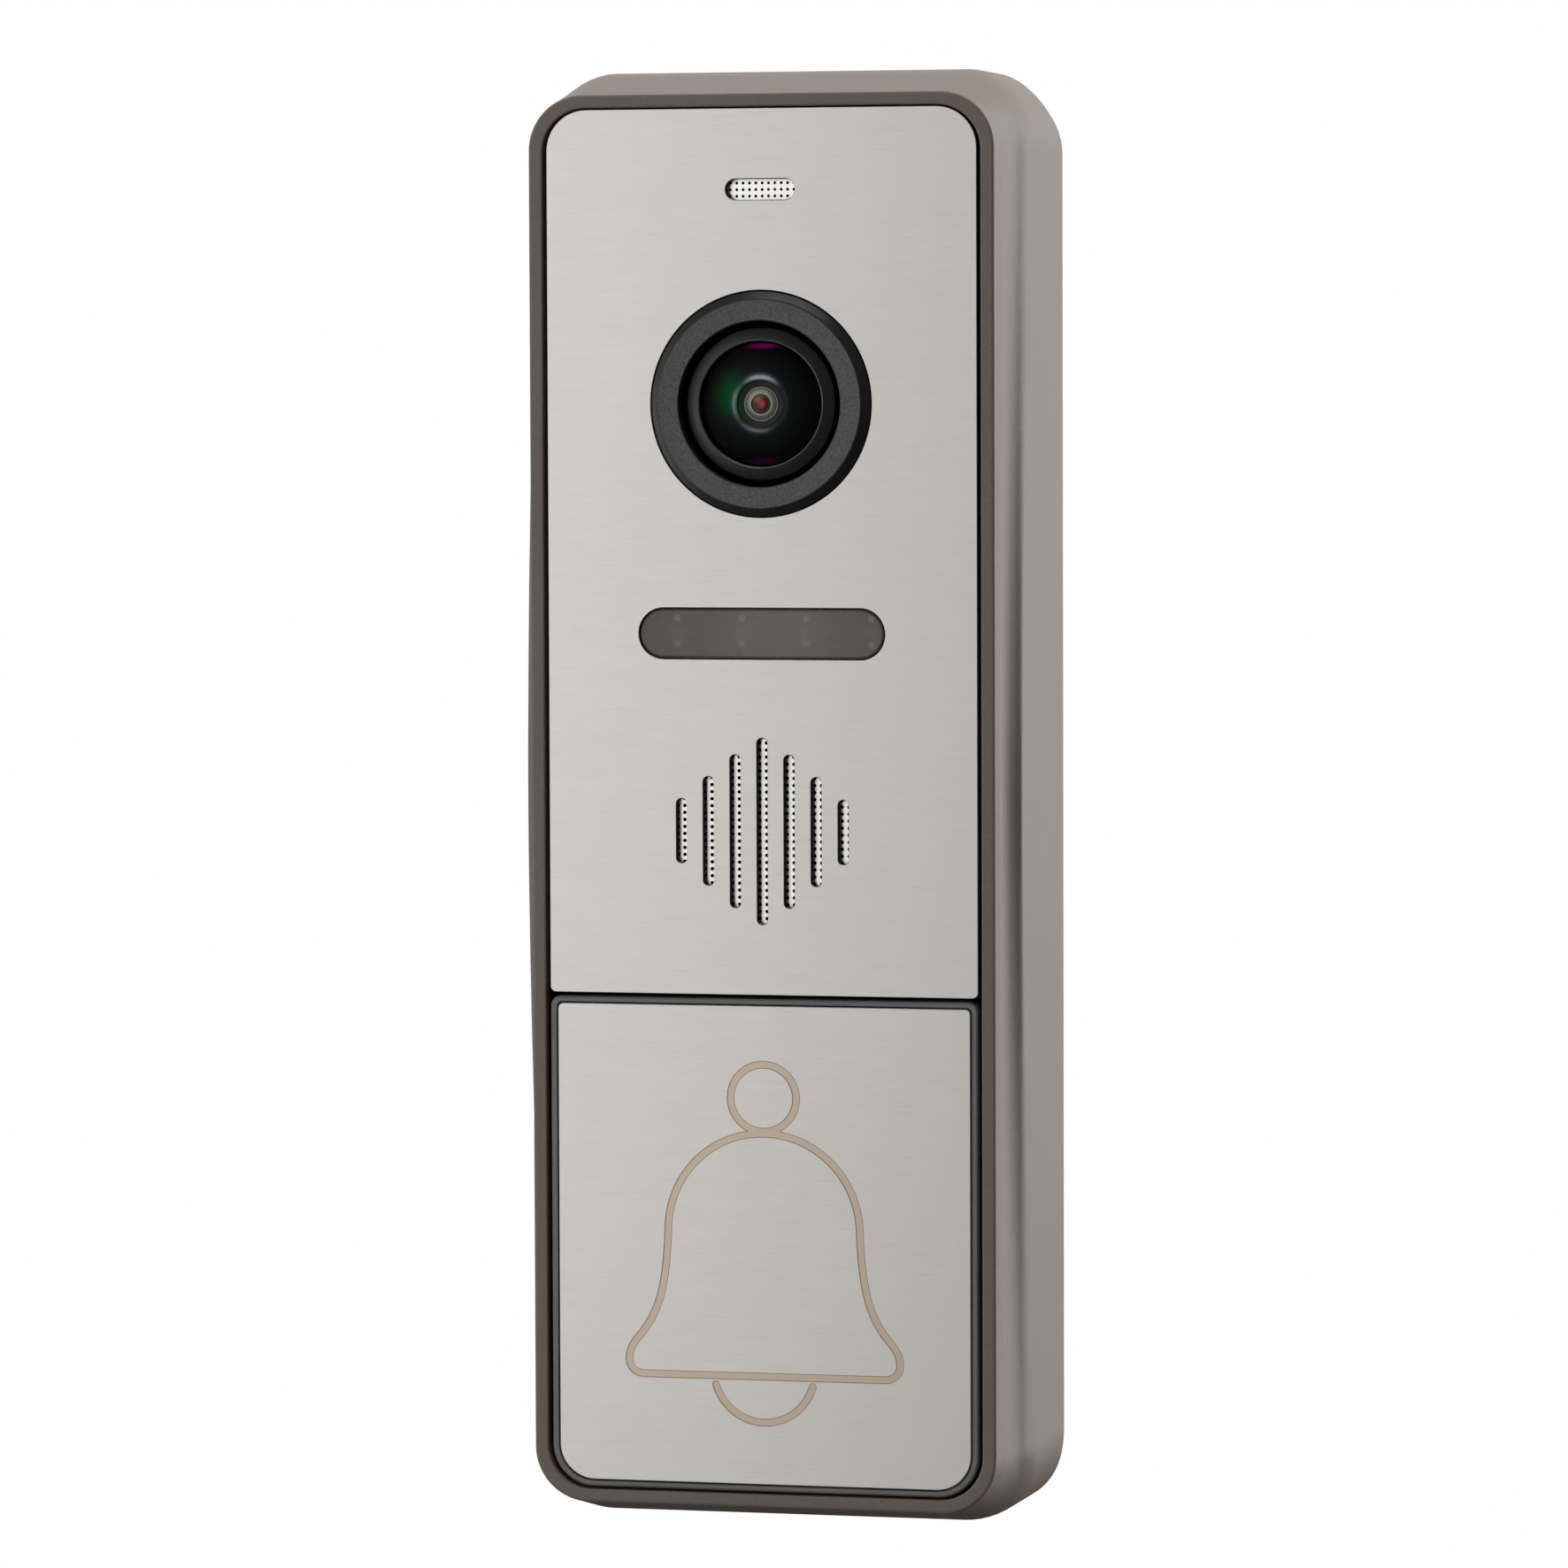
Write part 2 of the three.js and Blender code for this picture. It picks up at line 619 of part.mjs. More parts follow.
// Posts for the screws of the case, for those of the main board and for the lamp board.
function framePosts() {
  const { back, trayBack } = FRAME;
  const casePosts = CORNERS.map(([x, z]) => {
    const start = z > 0 ? back - ROOTED : CASE_POST.trayEnd;
    const end = z > 0 ? CASE_POST.end : trayBack - ROOTED;
    return rod(x * CASE_SCREW.x, z * CASE_SCREW.z, CASE_POST.radius, start, end, POST_DETAIL);
  });
  const boardPosts = CORNERS.map(([x, z]) => {
    const start = (z > 0 ? back : trayBack) - ROOTED;
    return rod(x * BOARD_SCREW.x, boardScrewZ(z), BOARD_POST.radius, start, BOARD.front - GAP, POST_DETAIL);
  });
  const lampPosts = [-LAMP_POST.x, LAMP_POST.x].map((x) =>
    rod(x, LAMP.z, LAMP_POST.radius, back - ROOTED, LAMP_POST.end, HOLE_DETAIL),
  );
  return [...casePosts, ...boardPosts, ...lampPosts];
}

// Pockets for what sits behind the plate, and the openings through their floors.
function framePockets() {
  const before = FRAME.front - PAST;
  const behind = FRAME.back + PAST;
  const { halfWidth, halfHeight, radius, floor } = SPEAKER_POCKET;
  const low = SPEAKER_Z - halfHeight;
  const high = SPEAKER_Z + halfHeight;
  return [
    rod(0, CAMERA_Z, BEZEL_POCKET.radius, before, BEZEL_POCKET.floor, WIDE_DETAIL),
    rod(0, CAMERA_Z, BEZEL_POCKET.openRadius, before, behind, WIDE_DETAIL),
    slab(pill(0, LAMP.z, LAMP_POCKET.halfWidth, LAMP_POCKET.halfHeight), before, LAMP_POCKET.floor, 3),
    slab(pill(0, LAMP.z, LAMP_POCKET.openHalfWidth, LAMP_POCKET.openHalfHeight), before, behind, 2),
    slab(pill(0, MIC_Z, MIC_POCKET.halfWidth, MIC_POCKET.halfHeight), before, MIC_POCKET.floor, 2),
    rod(0, MIC_Z, MIC_POCKET.openRadius, before, behind, HOLE_DETAIL),
    slab(roundedRectangle(-halfWidth, halfWidth, low, high, radius), before, floor, 2),
    rod(0, SPEAKER_Z, SPEAKER_POCKET.openRadius, before, behind, WIDE_DETAIL),
  ];
}

// Pilot holes for the screws, the hole for the button's post and the slots for its hooks.
function frameHoles() {
  const before = FRAME.trayFront - PAST;
  const behind = FRAME.trayBack + PAST;
  const pilotHoles = CORNERS.flatMap(([x, z]) => {
    const { pilotRadius, pilotFront, pilotBack } = CASE_POST;
    return [
      rod(x * CASE_SCREW.x, z * CASE_SCREW.z, pilotRadius, pilotFront, pilotBack, HOLE_DETAIL),
      rod(
        x * BOARD_SCREW.x,
        boardScrewZ(z),
        BOARD_POST.pilotRadius,
        BOARD_POST.pilotFront,
        BOARD_POST.pilotBack,
        HOLE_DETAIL,
      ),
    ];
  });
  const slotHalfWidth = HOOK.halfWidth + HOOK.slotGap;
  const slotHalfHeight = HOOK.halfThickness + HOOK.slotGap;
  const hookSlots = hookPlaces().map(([x, z]) =>
    box(x - slotHalfWidth, x + slotHalfWidth, before, behind, z - slotHalfHeight, z + slotHalfHeight),
  );
  return [rod(0, BUTTON_Z, POST_HOLE_RADIUS, before, behind, POST_DETAIL), ...pilotHoles, ...hookSlots];
}

function frontFrame() {
  return cut(joined(frameBody(), ...framePosts()), ...framePockets(), ...frameHoles());
}

// Where the screws of the main board stand, for the upper and the lower side.
function boardScrewZ(side) {
  return side > 0 ? BOARD_SCREW.high : BOARD_SCREW.low;
}

// Where the button's retaining hooks pass through the tray.
function hookPlaces() {
  const { x, fromEnd } = HOOK;
  return [
    [-x, CARRIER.top - fromEnd],
    [x, CARRIER.top - fromEnd],
    [-x, CARRIER.bottom + fromEnd],
    [x, CARRIER.bottom + fromEnd],
  ];
}

piece("front_frame", frontFrame(), "blackPlastic");

// ---- camera, drawn around its own axis ----

const camera = new THREE.Group();
camera.position.set(0, 0, CAMERA_Z);
root.add(camera);

function bezel() {
  const { radius, faceRadius, openRadius, face, flangeRadius, flangeThickness, step, stepDepth } = BEZEL;
  const edge = 0.16;
  const flangeBack = FRAME.front + flangeThickness;
  const profile = [
    [openRadius, face + edge],
    [openRadius + edge, face],
    [faceRadius, face],
    [faceRadius + edge, face + edge / 2],
    [radius, PLATE.front],
    [radius, FRAME.front],
    [flangeRadius, FRAME.front],
    [flangeRadius, flangeBack],
    [openRadius + step, flangeBack],
    [openRadius + step, face + stepDepth],
    [openRadius, face + stepDepth],
  ];
  return turned(profile, 0, FINE_DETAIL);
}

piece("camera_bezel", bezel(), "blackPlastic", [0, 0, 0], camera);

function lensBarrel() {
  const { ringRadius, seatRadius, threadRadius, edge } = LENS;
  const { neckBack, back, boreRadius, boreFront, coneRadius, coneFront } = BARREL;
  const crest = 0.2;
  const slopeDepth = 0.5;
  const profile = [
    [seatRadius, edge],
    [seatRadius + crest, edge],
    [ringRadius - crest, edge + slopeDepth],
    [ringRadius, edge + slopeDepth + crest],
    [ringRadius, neckBack],
    [threadRadius, neckBack],
    [threadRadius, back],
    [boreRadius, back],
    [boreRadius, boreFront],
    [coneRadius, coneFront],
    [seatRadius, coneFront],
  ];
  return turned(profile, 0, FINE_DETAIL);
}

piece("lens_barrel", lensBarrel(), "anodised", [0, 0, 0], camera);

// Front element: a wide dome outside and a deep hollow behind it.
function frontLens() {
  const { glassRadius, domeRadius, edge, back, hollowRadius, hollowEdge } = LENS;
  const domeSteps = 4;
  const hollowSteps = 3;
  const edgeAngle = Math.asin(glassRadius / domeRadius);
  const dome = arc(domeRadius, edge + domeRadius * Math.cos(edgeAngle), 0, edgeAngle, domeSteps);
  const hollowAngle = Math.asin(hollowEdge / hollowRadius);
  const hollowCentre = back + hollowRadius * Math.cos(hollowAngle);
  const hollow = arc(hollowRadius, hollowCentre, hollowAngle, 0, hollowSteps);
  return turned([...dome, [glassRadius, back], ...hollow], 0, FINE_DETAIL);
}

piece("front_lens", frontLens(), "glass", [0, 0, 0], camera);

// A small element with two bulging faces.
function smallLens({ front, back }) {
  const { radius, bulge } = SMALL_LENS;
  const share = 0.6;
  return turned([
    [0, front - bulge],
    [radius * share, front - bulge * share],
    [radius, front],
    [radius, back],
    [radius * share, back + bulge * share],
    [0, back + bulge],
  ]);
}

function apertureStop() {
  const { radius, front, back } = STOP;
  return turned([[radius, front], [SMALL_LENS.radius, front], [SMALL_LENS.radius, back], [radius, back]]);
}

piece("inner_lens", smallLens(INNER_LENS), "glass", [0, 0, 0], camera);
piece("aperture_stop", apertureStop(), "blackPlastic", [0, 0, 0], camera);
piece("rear_lens", smallLens(REAR_LENS), "glass", [0, 0, 0], camera);

// A box centred on the axis that a piece is drawn around.
function centredBox(halfWidth, halfHeight, yFront, yBack) {
  return box(-halfWidth, halfWidth, yFront, yBack, -halfHeight, halfHeight);
}

function lensHolder() {
  const { tubeRadius, tubeFront, footHalfWidth, footFront, boreRadius, boreBack, windowHalfWidth } = HOLDER;
  const footBack = BOARD.front - GAP;
  const tube = rod(0, 0, tubeRadius, tubeFront, footBack, WIDE_DETAIL);
  const foot = centredBox(footHalfWidth, footHalfWidth, footFront, footBack);
  const bore = rod(0, 0, boreRadius, tubeFront - PAST, boreBack, WIDE_DETAIL);
  const window = centredBox(windowHalfWidth, windowHalfWidth, boreBack - PAST, footBack + PAST);
  return cut(joined(tube, foot), bore, window);
}

piece("lens_holder", lensHolder(), "blackPlastic", [0, 0, 0], camera);

const irFilter = centredBox(FILTER.halfWidth, FILTER.halfWidth, FILTER.front, FILTER.back);
piece("ir_filter", irFilter, "glass", [0, 0, 0], camera);

const imageSensor = centredBox(SENSOR.halfWidth, SENSOR.halfHeight, SENSOR.front, SENSOR.back);
piece("image_sensor", imageSensor, "chip", [0, 0, 0], camera);

// ---- lamp window and lamps ----

function lampWindow() {
  const { gap, sunk, flangeHalfWidth, flangeHalfHeight, flangeBack } = LAMP_WINDOW;
  const outline = pill(0, LAMP.z, LAMP.halfWidth - gap, LAMP.halfHeight - gap);
  const flange = pill(0, LAMP.z, flangeHalfWidth, flangeHalfHeight);
  return joined(slab(outline, PLATE.front + sunk, flangeBack, 4), slab(flange, FRAME.front, flangeBack, 3));
}

piece("lamp_window", lampWindow(), "lampPlastic");

for (let i = 0; i < 4; i++) {
  const x = (i - 1.5) * LAMP.pitch;
  const lamp = centredBox(LAMP_BODY.halfWidth, LAMP_BODY.halfHeight, LAMP_BODY.front, LAMP_BOARD.front - GAP);
  piece(`lamp_${i + 1}`, lamp, "lamp", [x, 0, LAMP.z]);
}

const lampBoard = centredBox(LAMP_BOARD.halfWidth, LAMP_BOARD.halfHeight, LAMP_BOARD.front, LAMP_BOARD.back);
piece("lamp_board", lampBoard, "board", [0, 0, LAMP.z]);

// ---- microphone and speaker, each drawn around its own axis ----

const microphone = new THREE.Group();
microphone.position.set(0, 0, MIC_Z);
root.add(microphone);

const micMesh = slab(pill(0, 0, MIC_MESH.halfWidth, MIC_MESH.halfHeight), MESH.front, MESH.back, 3);
piece("mic_mesh", micMesh, "mesh", [0, 0, 0], microphone);
piece("mic_boot", turned(BOOT), "rubber", [0, 0, 0], microphone);

const micCapsule = rod(0, 0, MIC_CAPSULE.radius, MIC_CAPSULE.front, MIC_CAPSULE.back);
piece("mic_capsule", micCapsule, "magnet", [0, 0, 0], microphone);

const speaker = new THREE.Group();
speaker.position.set(0, 0, SPEAKER_Z);
root.add(speaker);

const speakerMesh = slab(centredRectangle(SPEAKER_MESH), MESH.front, MESH.back, 2);
piece("speaker_mesh", speakerMesh, "mesh", [0, 0, 0], speaker);

function speakerGasket() {
  const { inner, outer, front, back } = GASKET;
  return turned([[inner, front], [outer, front], [outer, back], [inner, back]], 0, WIDE_DETAIL);
}

piece("speaker_gasket", speakerGasket(), "rubber", [0, 0, 0], speaker);
piece("speaker_basket", turned(BASKET, 0, WIDE_DETAIL), "zinc", [0, 0, 0], speaker);
piece("speaker_cone", turned(CONE, 0, WIDE_DETAIL), "paper", [0, 0, 0], speaker);
piece("speaker_magnet", turned(MAGNET, 0, WIDE_DETAIL), "magnet", [0, 0, 0], speaker);

// ---- call button ----

const button = new THREE.Group();
root.add(button);

function buttonPlate() {
  const { halfWidth, wall, top, bottom, front } = CARRIER;
  const { inset, thickness, radius, bottomRadius } = BUTTON_PLATE;
  const edge = halfWidth - inset;
  const shape = roundedRectangle(-edge, edge, bottom + wall, top - wall, radius, bottomRadius);
  return slab(shape, front, front + thickness);
}

piece("button_plate", buttonPlate(), "brushedSteel", [0, 0, 0], button);

// The outline of the carrier, moved in by the same amount on every side.
function carrierOutline(inset, topRadius, bottomRadius, more = 0) {
  const { halfWidth, top, bottom } = CARRIER;
  const edge = halfWidth - inset;
  return roundedRectangle(-edge, edge, bottom + inset - more, top - inset + more, topRadius, bottomRadius);
}

function buttonCarrier() {
  const { wall, front, floorFront, floorBack, skirtEnd, skirtWall, topRadius, bottomRadius } = CARRIER;
  const outline = carrierOutline(0, topRadius, bottomRadius);
  const recess = carrierOutline(wall, RECESS.radius, RECESS.bottomRadius, RECESS.more);
  const hollow = carrierOutline(skirtWall, SKIRT.radius, SKIRT.bottomRadius);
  const shell = cut(
    slab(outline, front, skirtEnd),
    slab(recess, front - PAST, floorFront),
    slab(hollow, floorBack, skirtEnd + PAST),
  );
  const start = floorBack - ROOTED;
  const post = rod(0, BUTTON_Z, BUTTON_POST.radius, start, BUTTON_POST.end, POST_DETAIL);
  const springPins = [-SPRING_PIN.x, SPRING_PIN.x].map((x) =>
    rod(x, BUTTON_Z, SPRING_PIN.radius, start, SPRING_PIN.end, HOLE_DETAIL),
  );
  const hooks = hookPlaces().flatMap(([x, z]) => {
    const { halfWidth, halfThickness, barb, length } = HOOK;
    const end = FRAME.trayBack + length;
    const side = Math.sign(z - BUTTON_Z);
    const tip = [z - halfThickness * side, z + barb * side];
    return [
      box(x - halfWidth, x + halfWidth, start, end, z - halfThickness, z + halfThickness),
      box(x - halfWidth, x + halfWidth, FRAME.trayBack + GAP, end, Math.min(...tip), Math.max(...tip)),
    ];
  });
  return joined(shell, post, ...springPins, ...hooks);
}

piece("button_carrier", buttonCarrier(), "smokedPlastic", [0, 0, 0], button);

// A return spring of round wire, drawn around its own axis.
class SpringPath extends THREE.Curve {
  constructor(radius, length, turns) {
    super();
    this.radius = radius;
    this.length = length;
    this.turns = turns;
  }
  getPoint(t, target = new THREE.Vector3()) {
    const angle = t * this.turns * 2 * Math.PI;
    return target.set(this.radius * Math.cos(angle), t * this.length, this.radius * Math.sin(angle));
  }
}

function springBody() {
  const stepsPerTurn = 9;
  const section = new THREE.Shape();
  section.absarc(0, 0, SPRING.wire, 0, 2 * Math.PI);
  const path = new SpringPath(SPRING.radius, SPRING.length, SPRING.turns);
  const steps = stepsPerTurn * SPRING.turns;
  return new THREE.ExtrudeGeometry(section, { steps, curveSegments: 3, extrudePath: path });
}

piece("button_spring_left", springBody(), "zinc", [-SPRING_PIN.x, SPRING.front, BUTTON_Z]);
piece("button_spring_right", springBody(), "zinc", [SPRING_PIN.x, SPRING.front, BUTTON_Z]);

// ---- main board and what it carries ----

function mainBoard() {
  const { front, back, holeRadius } = BOARD;
  const plate = slab(centredRectangle(BOARD), front, back, 3);
  const screwHoles = CORNERS.map(([x, z]) =>
    rod(x * BOARD_SCREW.x, boardScrewZ(z), holeRadius, front - PAST, back + PAST, HOLE_DETAIL),
  );
  const { halfWidth, halfHeight } = CABLE_SLOT;
  const low = CABLE_HOLE.z - halfHeight;
  const high = CABLE_HOLE.z + halfHeight;
  return cut(plate, box(-halfWidth, halfWidth, front - PAST, back + PAST, low, high), ...screwHoles);
}

piece("main_board", mainBoard(), "board");

function videoChip() {
  const { left, right, low, high, front } = VIDEO_CHIP;
  return box(left, right, front, BOARD.front - GAP, low, high);
}

piece("video_chip", videoChip(), "chip");

const capacitor = rod(0, 0, CAPACITOR.radius, CAPACITOR.front, BOARD.front - GAP);
piece("power_capacitor", capacitor, "chip", [CAPACITOR.x, 0, CAPACITOR.z]);

function cableHeader() {
  const { halfWidth, low, high, front, wall, floor } = HEADER;
  const inner = halfWidth - wall;
  const shell = box(-halfWidth, halfWidth, front, BOARD.front - GAP, low, high);
  return cut(shell, box(-inner, inner, front - PAST, floor, low + wall, high - wall));
}

piece("cable_header", cableHeader(), "whitePlastic");

// A screw around the Y axis, with a crossed slot in its head.
function screw({ shank, headRadius, front, back, tip }) {
  const { slotHalfWidth, slotShare, headEdge, point, pointShare } = SCREW;
  const profile = [
    [0, tip],
    [shank * pointShare, tip],
    [shank, tip + point],
    [shank, front],
    [headRadius, front],
    [headRadius, back - headEdge],
    [headRadius - headEdge, back],
    [0, back],
  ];
  const slotFloor = (front + back) / 2;
  const arm = headRadius * slotShare;
  return cut(
    turned(profile, 0, POST_DETAIL),
    centredBox(arm, slotHalfWidth, slotFloor, back + PAST),
    centredBox(slotHalfWidth, arm, slotFloor, back + PAST),
  );
}

CORNERS.forEach(([x, z], i) => {
  piece(`board_screw_${i + 1}`, screw(BOARD_SCREW), "zinc", [x * BOARD_SCREW.x, 0, boardScrewZ(z)]);
});

function switchBody() {
  const { halfWidth, front, boreRadius, boreEnd } = SWITCH;
  const bore = rod(0, 0, boreRadius, front - PAST, boreEnd);
  return cut(centredBox(halfWidth, halfWidth, front, BOARD.front - GAP), bore);
}

piece("switch_body", switchBody(), "chip", [0, 0, BUTTON_Z]);

const plunger = rod(0, 0, PLUNGER.radius, PLUNGER.front, PLUNGER.back);
piece("switch_plunger", plunger, "whitePlastic", [0, 0, BUTTON_Z]);

function trimmerBody() {
  const { halfWidth, front, back, boreRadius, boreFloor } = TRIMMER;
  return cut(centredBox(halfWidth, halfWidth, front, back), rod(0, 0, boreRadius, boreFloor, back + PAST));
}

function trimmerRotor() {
  const { radius, front, back, slotFloor, slotHalfLength, slotHalfWidth } = ROTOR;
  return cut(
    rod(0, 0, radius, front, back),
    centredBox(slotHalfLength, slotHalfWidth, slotFloor, back + PAST),
    centredBox(slotHalfWidth, slotHalfLength, slotFloor, back + PAST),
  );
}

piece("trimmer_body", trimmerBody(), "whitePlastic", [TRIMMER.x, 0, TRIMMER.z]);
piece("trimmer_rotor", trimmerRotor(), "zinc", [TRIMMER.x, 0, TRIMMER.z]);

function slideBody() {
  const { halfWidth, halfHeight, front, back } = SLIDE_SWITCH;
  const bore = centredBox(SLIDE_BORE.halfWidth, SLIDE_BORE.halfHeight, SLIDE_BORE.floor, back + PAST);
  return cut(centredBox(halfWidth, halfHeight, front, back), bore);
}

piece("slide_switch_body", slideBody(), "chip", [SLIDE_SWITCH.x, 0, SLIDE_SWITCH.z]);

// At rest the lever stands at the left end of its travel.
const lever = centredBox(LEVER.halfWidth, LEVER.halfWidth, LEVER.front, LEVER.back);
const leverX = SLIDE_SWITCH.x - SLIDE_SWITCH.travel / 2;
piece("slide_switch_lever", lever, "whitePlastic", [leverX, 0, SLIDE_SWITCH.z]);

// ---- back of the case ----

function rearSeal() {
  const { halfWidth, halfHeight, radius, width, front, back } = SEAL;
  const ring = centredRectangle(SEAL);
  const inner = { halfWidth: halfWidth - width, halfHeight: halfHeight - width, radius: radius - width };
  ring.holes.push(centredRectangle(inner));
  return slab(ring, front, back);
}

piece("rear_seal", rearSeal(), "rubber");

function rearCover() {
  const { front, back, sinkFloor } = COVER;
  const before = front - PAST;
  const behind = back + PAST;
  const notches = [-1, 1].map((side) =>
    sidedBox(-NOTCH.halfWidth, NOTCH.halfWidth, before, behind, side, NOTCH.low, NOTCH.high),
  );
  const screwHoles = CORNERS.flatMap(([x, z]) => [
    rod(x * CASE_SCREW.x, z * CASE_SCREW.z, CASE_SCREW_HOLE.radius, before, behind, HOLE_DETAIL),
    rod(x * CASE_SCREW.x, z * CASE_SCREW.z, CASE_SCREW_HOLE.sinkRadius, sinkFloor, behind, POST_DETAIL),
  ]);
  const { trimmerHalfWidth, slideHalfWidth, halfHeight } = SETTING_WINDOW;
  const window = (x, z, halfWidth) =>
    box(x - halfWidth, x + halfWidth, before, behind, z - halfHeight, z + halfHeight);
  return cut(
    slab(centredRectangle(COVER), front, back),
    rod(0, CABLE_HOLE.z, CABLE_HOLE.coverRadius, before, behind),
    window(TRIMMER.x, TRIMMER.z, trimmerHalfWidth),
    window(SLIDE_SWITCH.x, SLIDE_SWITCH.z, slideHalfWidth),
    ...notches,
    ...screwHoles,
  );
}

piece("rear_cover", rearCover(), "blackPlastic");

CORNERS.forEach(([x, z], i) => {
  piece(`case_screw_${i + 1}`, screw(CASE_SCREW), "zinc", [x * CASE_SCREW.x, 0, z * CASE_SCREW.z]);
});

// Rubber sleeve for the house wiring, gripping the rear cover on both sides.
piece("cable_grommet", turned(GROMMET), "rubber", [0, 0, CABLE_HOLE.z]);

function wallBracket() {
  const { front, halfHeight, slotZ } = BRACKET;
  const { halfWidth, low, high, hookBack, hookTop, rooted } = LIP;
  const shape = centredRectangle(BRACKET);
  const opening = BRACKET_OPENING;
  shape.holes.push(
    roundedRectangle(-opening.halfWidth, opening.halfWidth, opening.low, opening.high, opening.radius),
    pill(0, slotZ, BRACKET_SLOT.halfWidth, BRACKET_SLOT.halfHeight),
    pill(0, -slotZ, BRACKET_SLOT.halfWidth, BRACKET_SLOT.halfHeight),
  );
  const sides = [-1, 1];
  const lips = sides.map((side) => sidedBox(-halfWidth, halfWidth, LIP.front, 0, side, low, high));
  const webLow = halfHeight - rooted;
  const webs = sides.map((side) => sidedBox(-halfWidth, halfWidth, front, 0, side, webLow, high));
  const hook = box(-halfWidth, halfWidth, LIP.front, hookBack, low, hookTop);
  const thread = lockRod(LOCK_HOLE.threadRadius, -high - PAST, -low + PAST);
  return cut(joined(slab(shape, front, 0, 3), ...lips, ...webs, hook), thread);
}

piece("wall_bracket", wallBracket(), "zinc");

// The locking screw goes up through the housing's bottom wall into the bracket's lip.
function lockScrew() {
  const { y, radius, headRadius, headHeight, tip, sunk } = LOCK_SCREW;
  const geometry = geometryOf(screw({ shank: radius, headRadius, front: -headHeight, back: 0, tip }));
  geometry.rotateX(-Math.PI / 2);
  geometry.translate(0, y, HOUSING_BOTTOM + sunk);
  return geometry;
}

piece("locking_screw", lockScrew(), "zinc");

export default root;
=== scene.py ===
"""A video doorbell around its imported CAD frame: a cast case, a brushed steel front and a bell button.

Everything is in metres in the frame of the CAD model: +Z up, the front faces -Y, and the wall is Y = 0.
"""
import math

import bmesh
import bpy
from mathutils import Matrix, Vector


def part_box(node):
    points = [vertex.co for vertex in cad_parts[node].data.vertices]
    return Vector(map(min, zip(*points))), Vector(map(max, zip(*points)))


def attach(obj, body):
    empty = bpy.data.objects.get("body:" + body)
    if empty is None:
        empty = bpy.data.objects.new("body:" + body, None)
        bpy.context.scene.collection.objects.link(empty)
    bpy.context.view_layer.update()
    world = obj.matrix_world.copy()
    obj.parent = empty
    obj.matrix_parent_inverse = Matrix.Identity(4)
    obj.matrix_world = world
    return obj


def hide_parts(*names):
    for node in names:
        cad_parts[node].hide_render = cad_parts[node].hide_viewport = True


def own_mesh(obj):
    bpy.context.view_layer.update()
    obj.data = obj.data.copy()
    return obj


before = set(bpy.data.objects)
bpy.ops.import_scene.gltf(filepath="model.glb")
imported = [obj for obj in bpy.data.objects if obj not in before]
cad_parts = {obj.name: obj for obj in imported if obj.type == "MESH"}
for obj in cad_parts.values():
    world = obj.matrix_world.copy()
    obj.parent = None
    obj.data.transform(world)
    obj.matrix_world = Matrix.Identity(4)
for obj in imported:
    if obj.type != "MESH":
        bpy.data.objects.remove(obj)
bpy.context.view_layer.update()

MM = 0.001

# ---------------------------------------------------------------- measures


class Edges:
    """The box of a CAD node as named edges."""

    def __init__(self, node):
        low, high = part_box(node)
        self.left, self.front, self.bottom = low
        self.right, self.back, self.top = high
        self.middle = (self.left + self.right) / 2, (self.bottom + self.top) / 2
        self.half_width = (self.right - self.left) / 2
        self.half_height = (self.top - self.bottom) / 2


CASE = Edges("housing")
PLATE = Edges("front_plate")
BUTTON = Edges("button_plate")
CARRIER = Edges("button_carrier")
BEZEL = Edges("camera_bezel")
BARREL = Edges("lens_barrel")
LAMP_WINDOW = Edges("lamp_window")
MIC_MESH = Edges("mic_mesh")
SPEAKER_MESH = Edges("speaker_mesh")
COVER = Edges("rear_cover")
BRACKET = Edges("wall_bracket")
GROMMET = Edges("cable_grommet")
LOCK = Edges("locking_screw")
CASE_SCREWS = [Edges(f"case_screw_{i}").middle for i in range(1, 5)]
LENS_AXIS = BARREL.middle
CAMERA_Z = BEZEL.middle[1]


def mix(a, b, t):
    return a + (b - a) * t


def smoothstep(value):
    value = max(0.0, min(1.0, value))
    return value * value * (3 - 2 * value)


def in_mm(points):
    """Points given in millimetres."""
    return [tuple(c * MM for c in point) for point in points]


# ---------------------------------------------------------------- node materials


def shade(color, factor):
    return tuple(min(1.0, c * factor) for c in color)


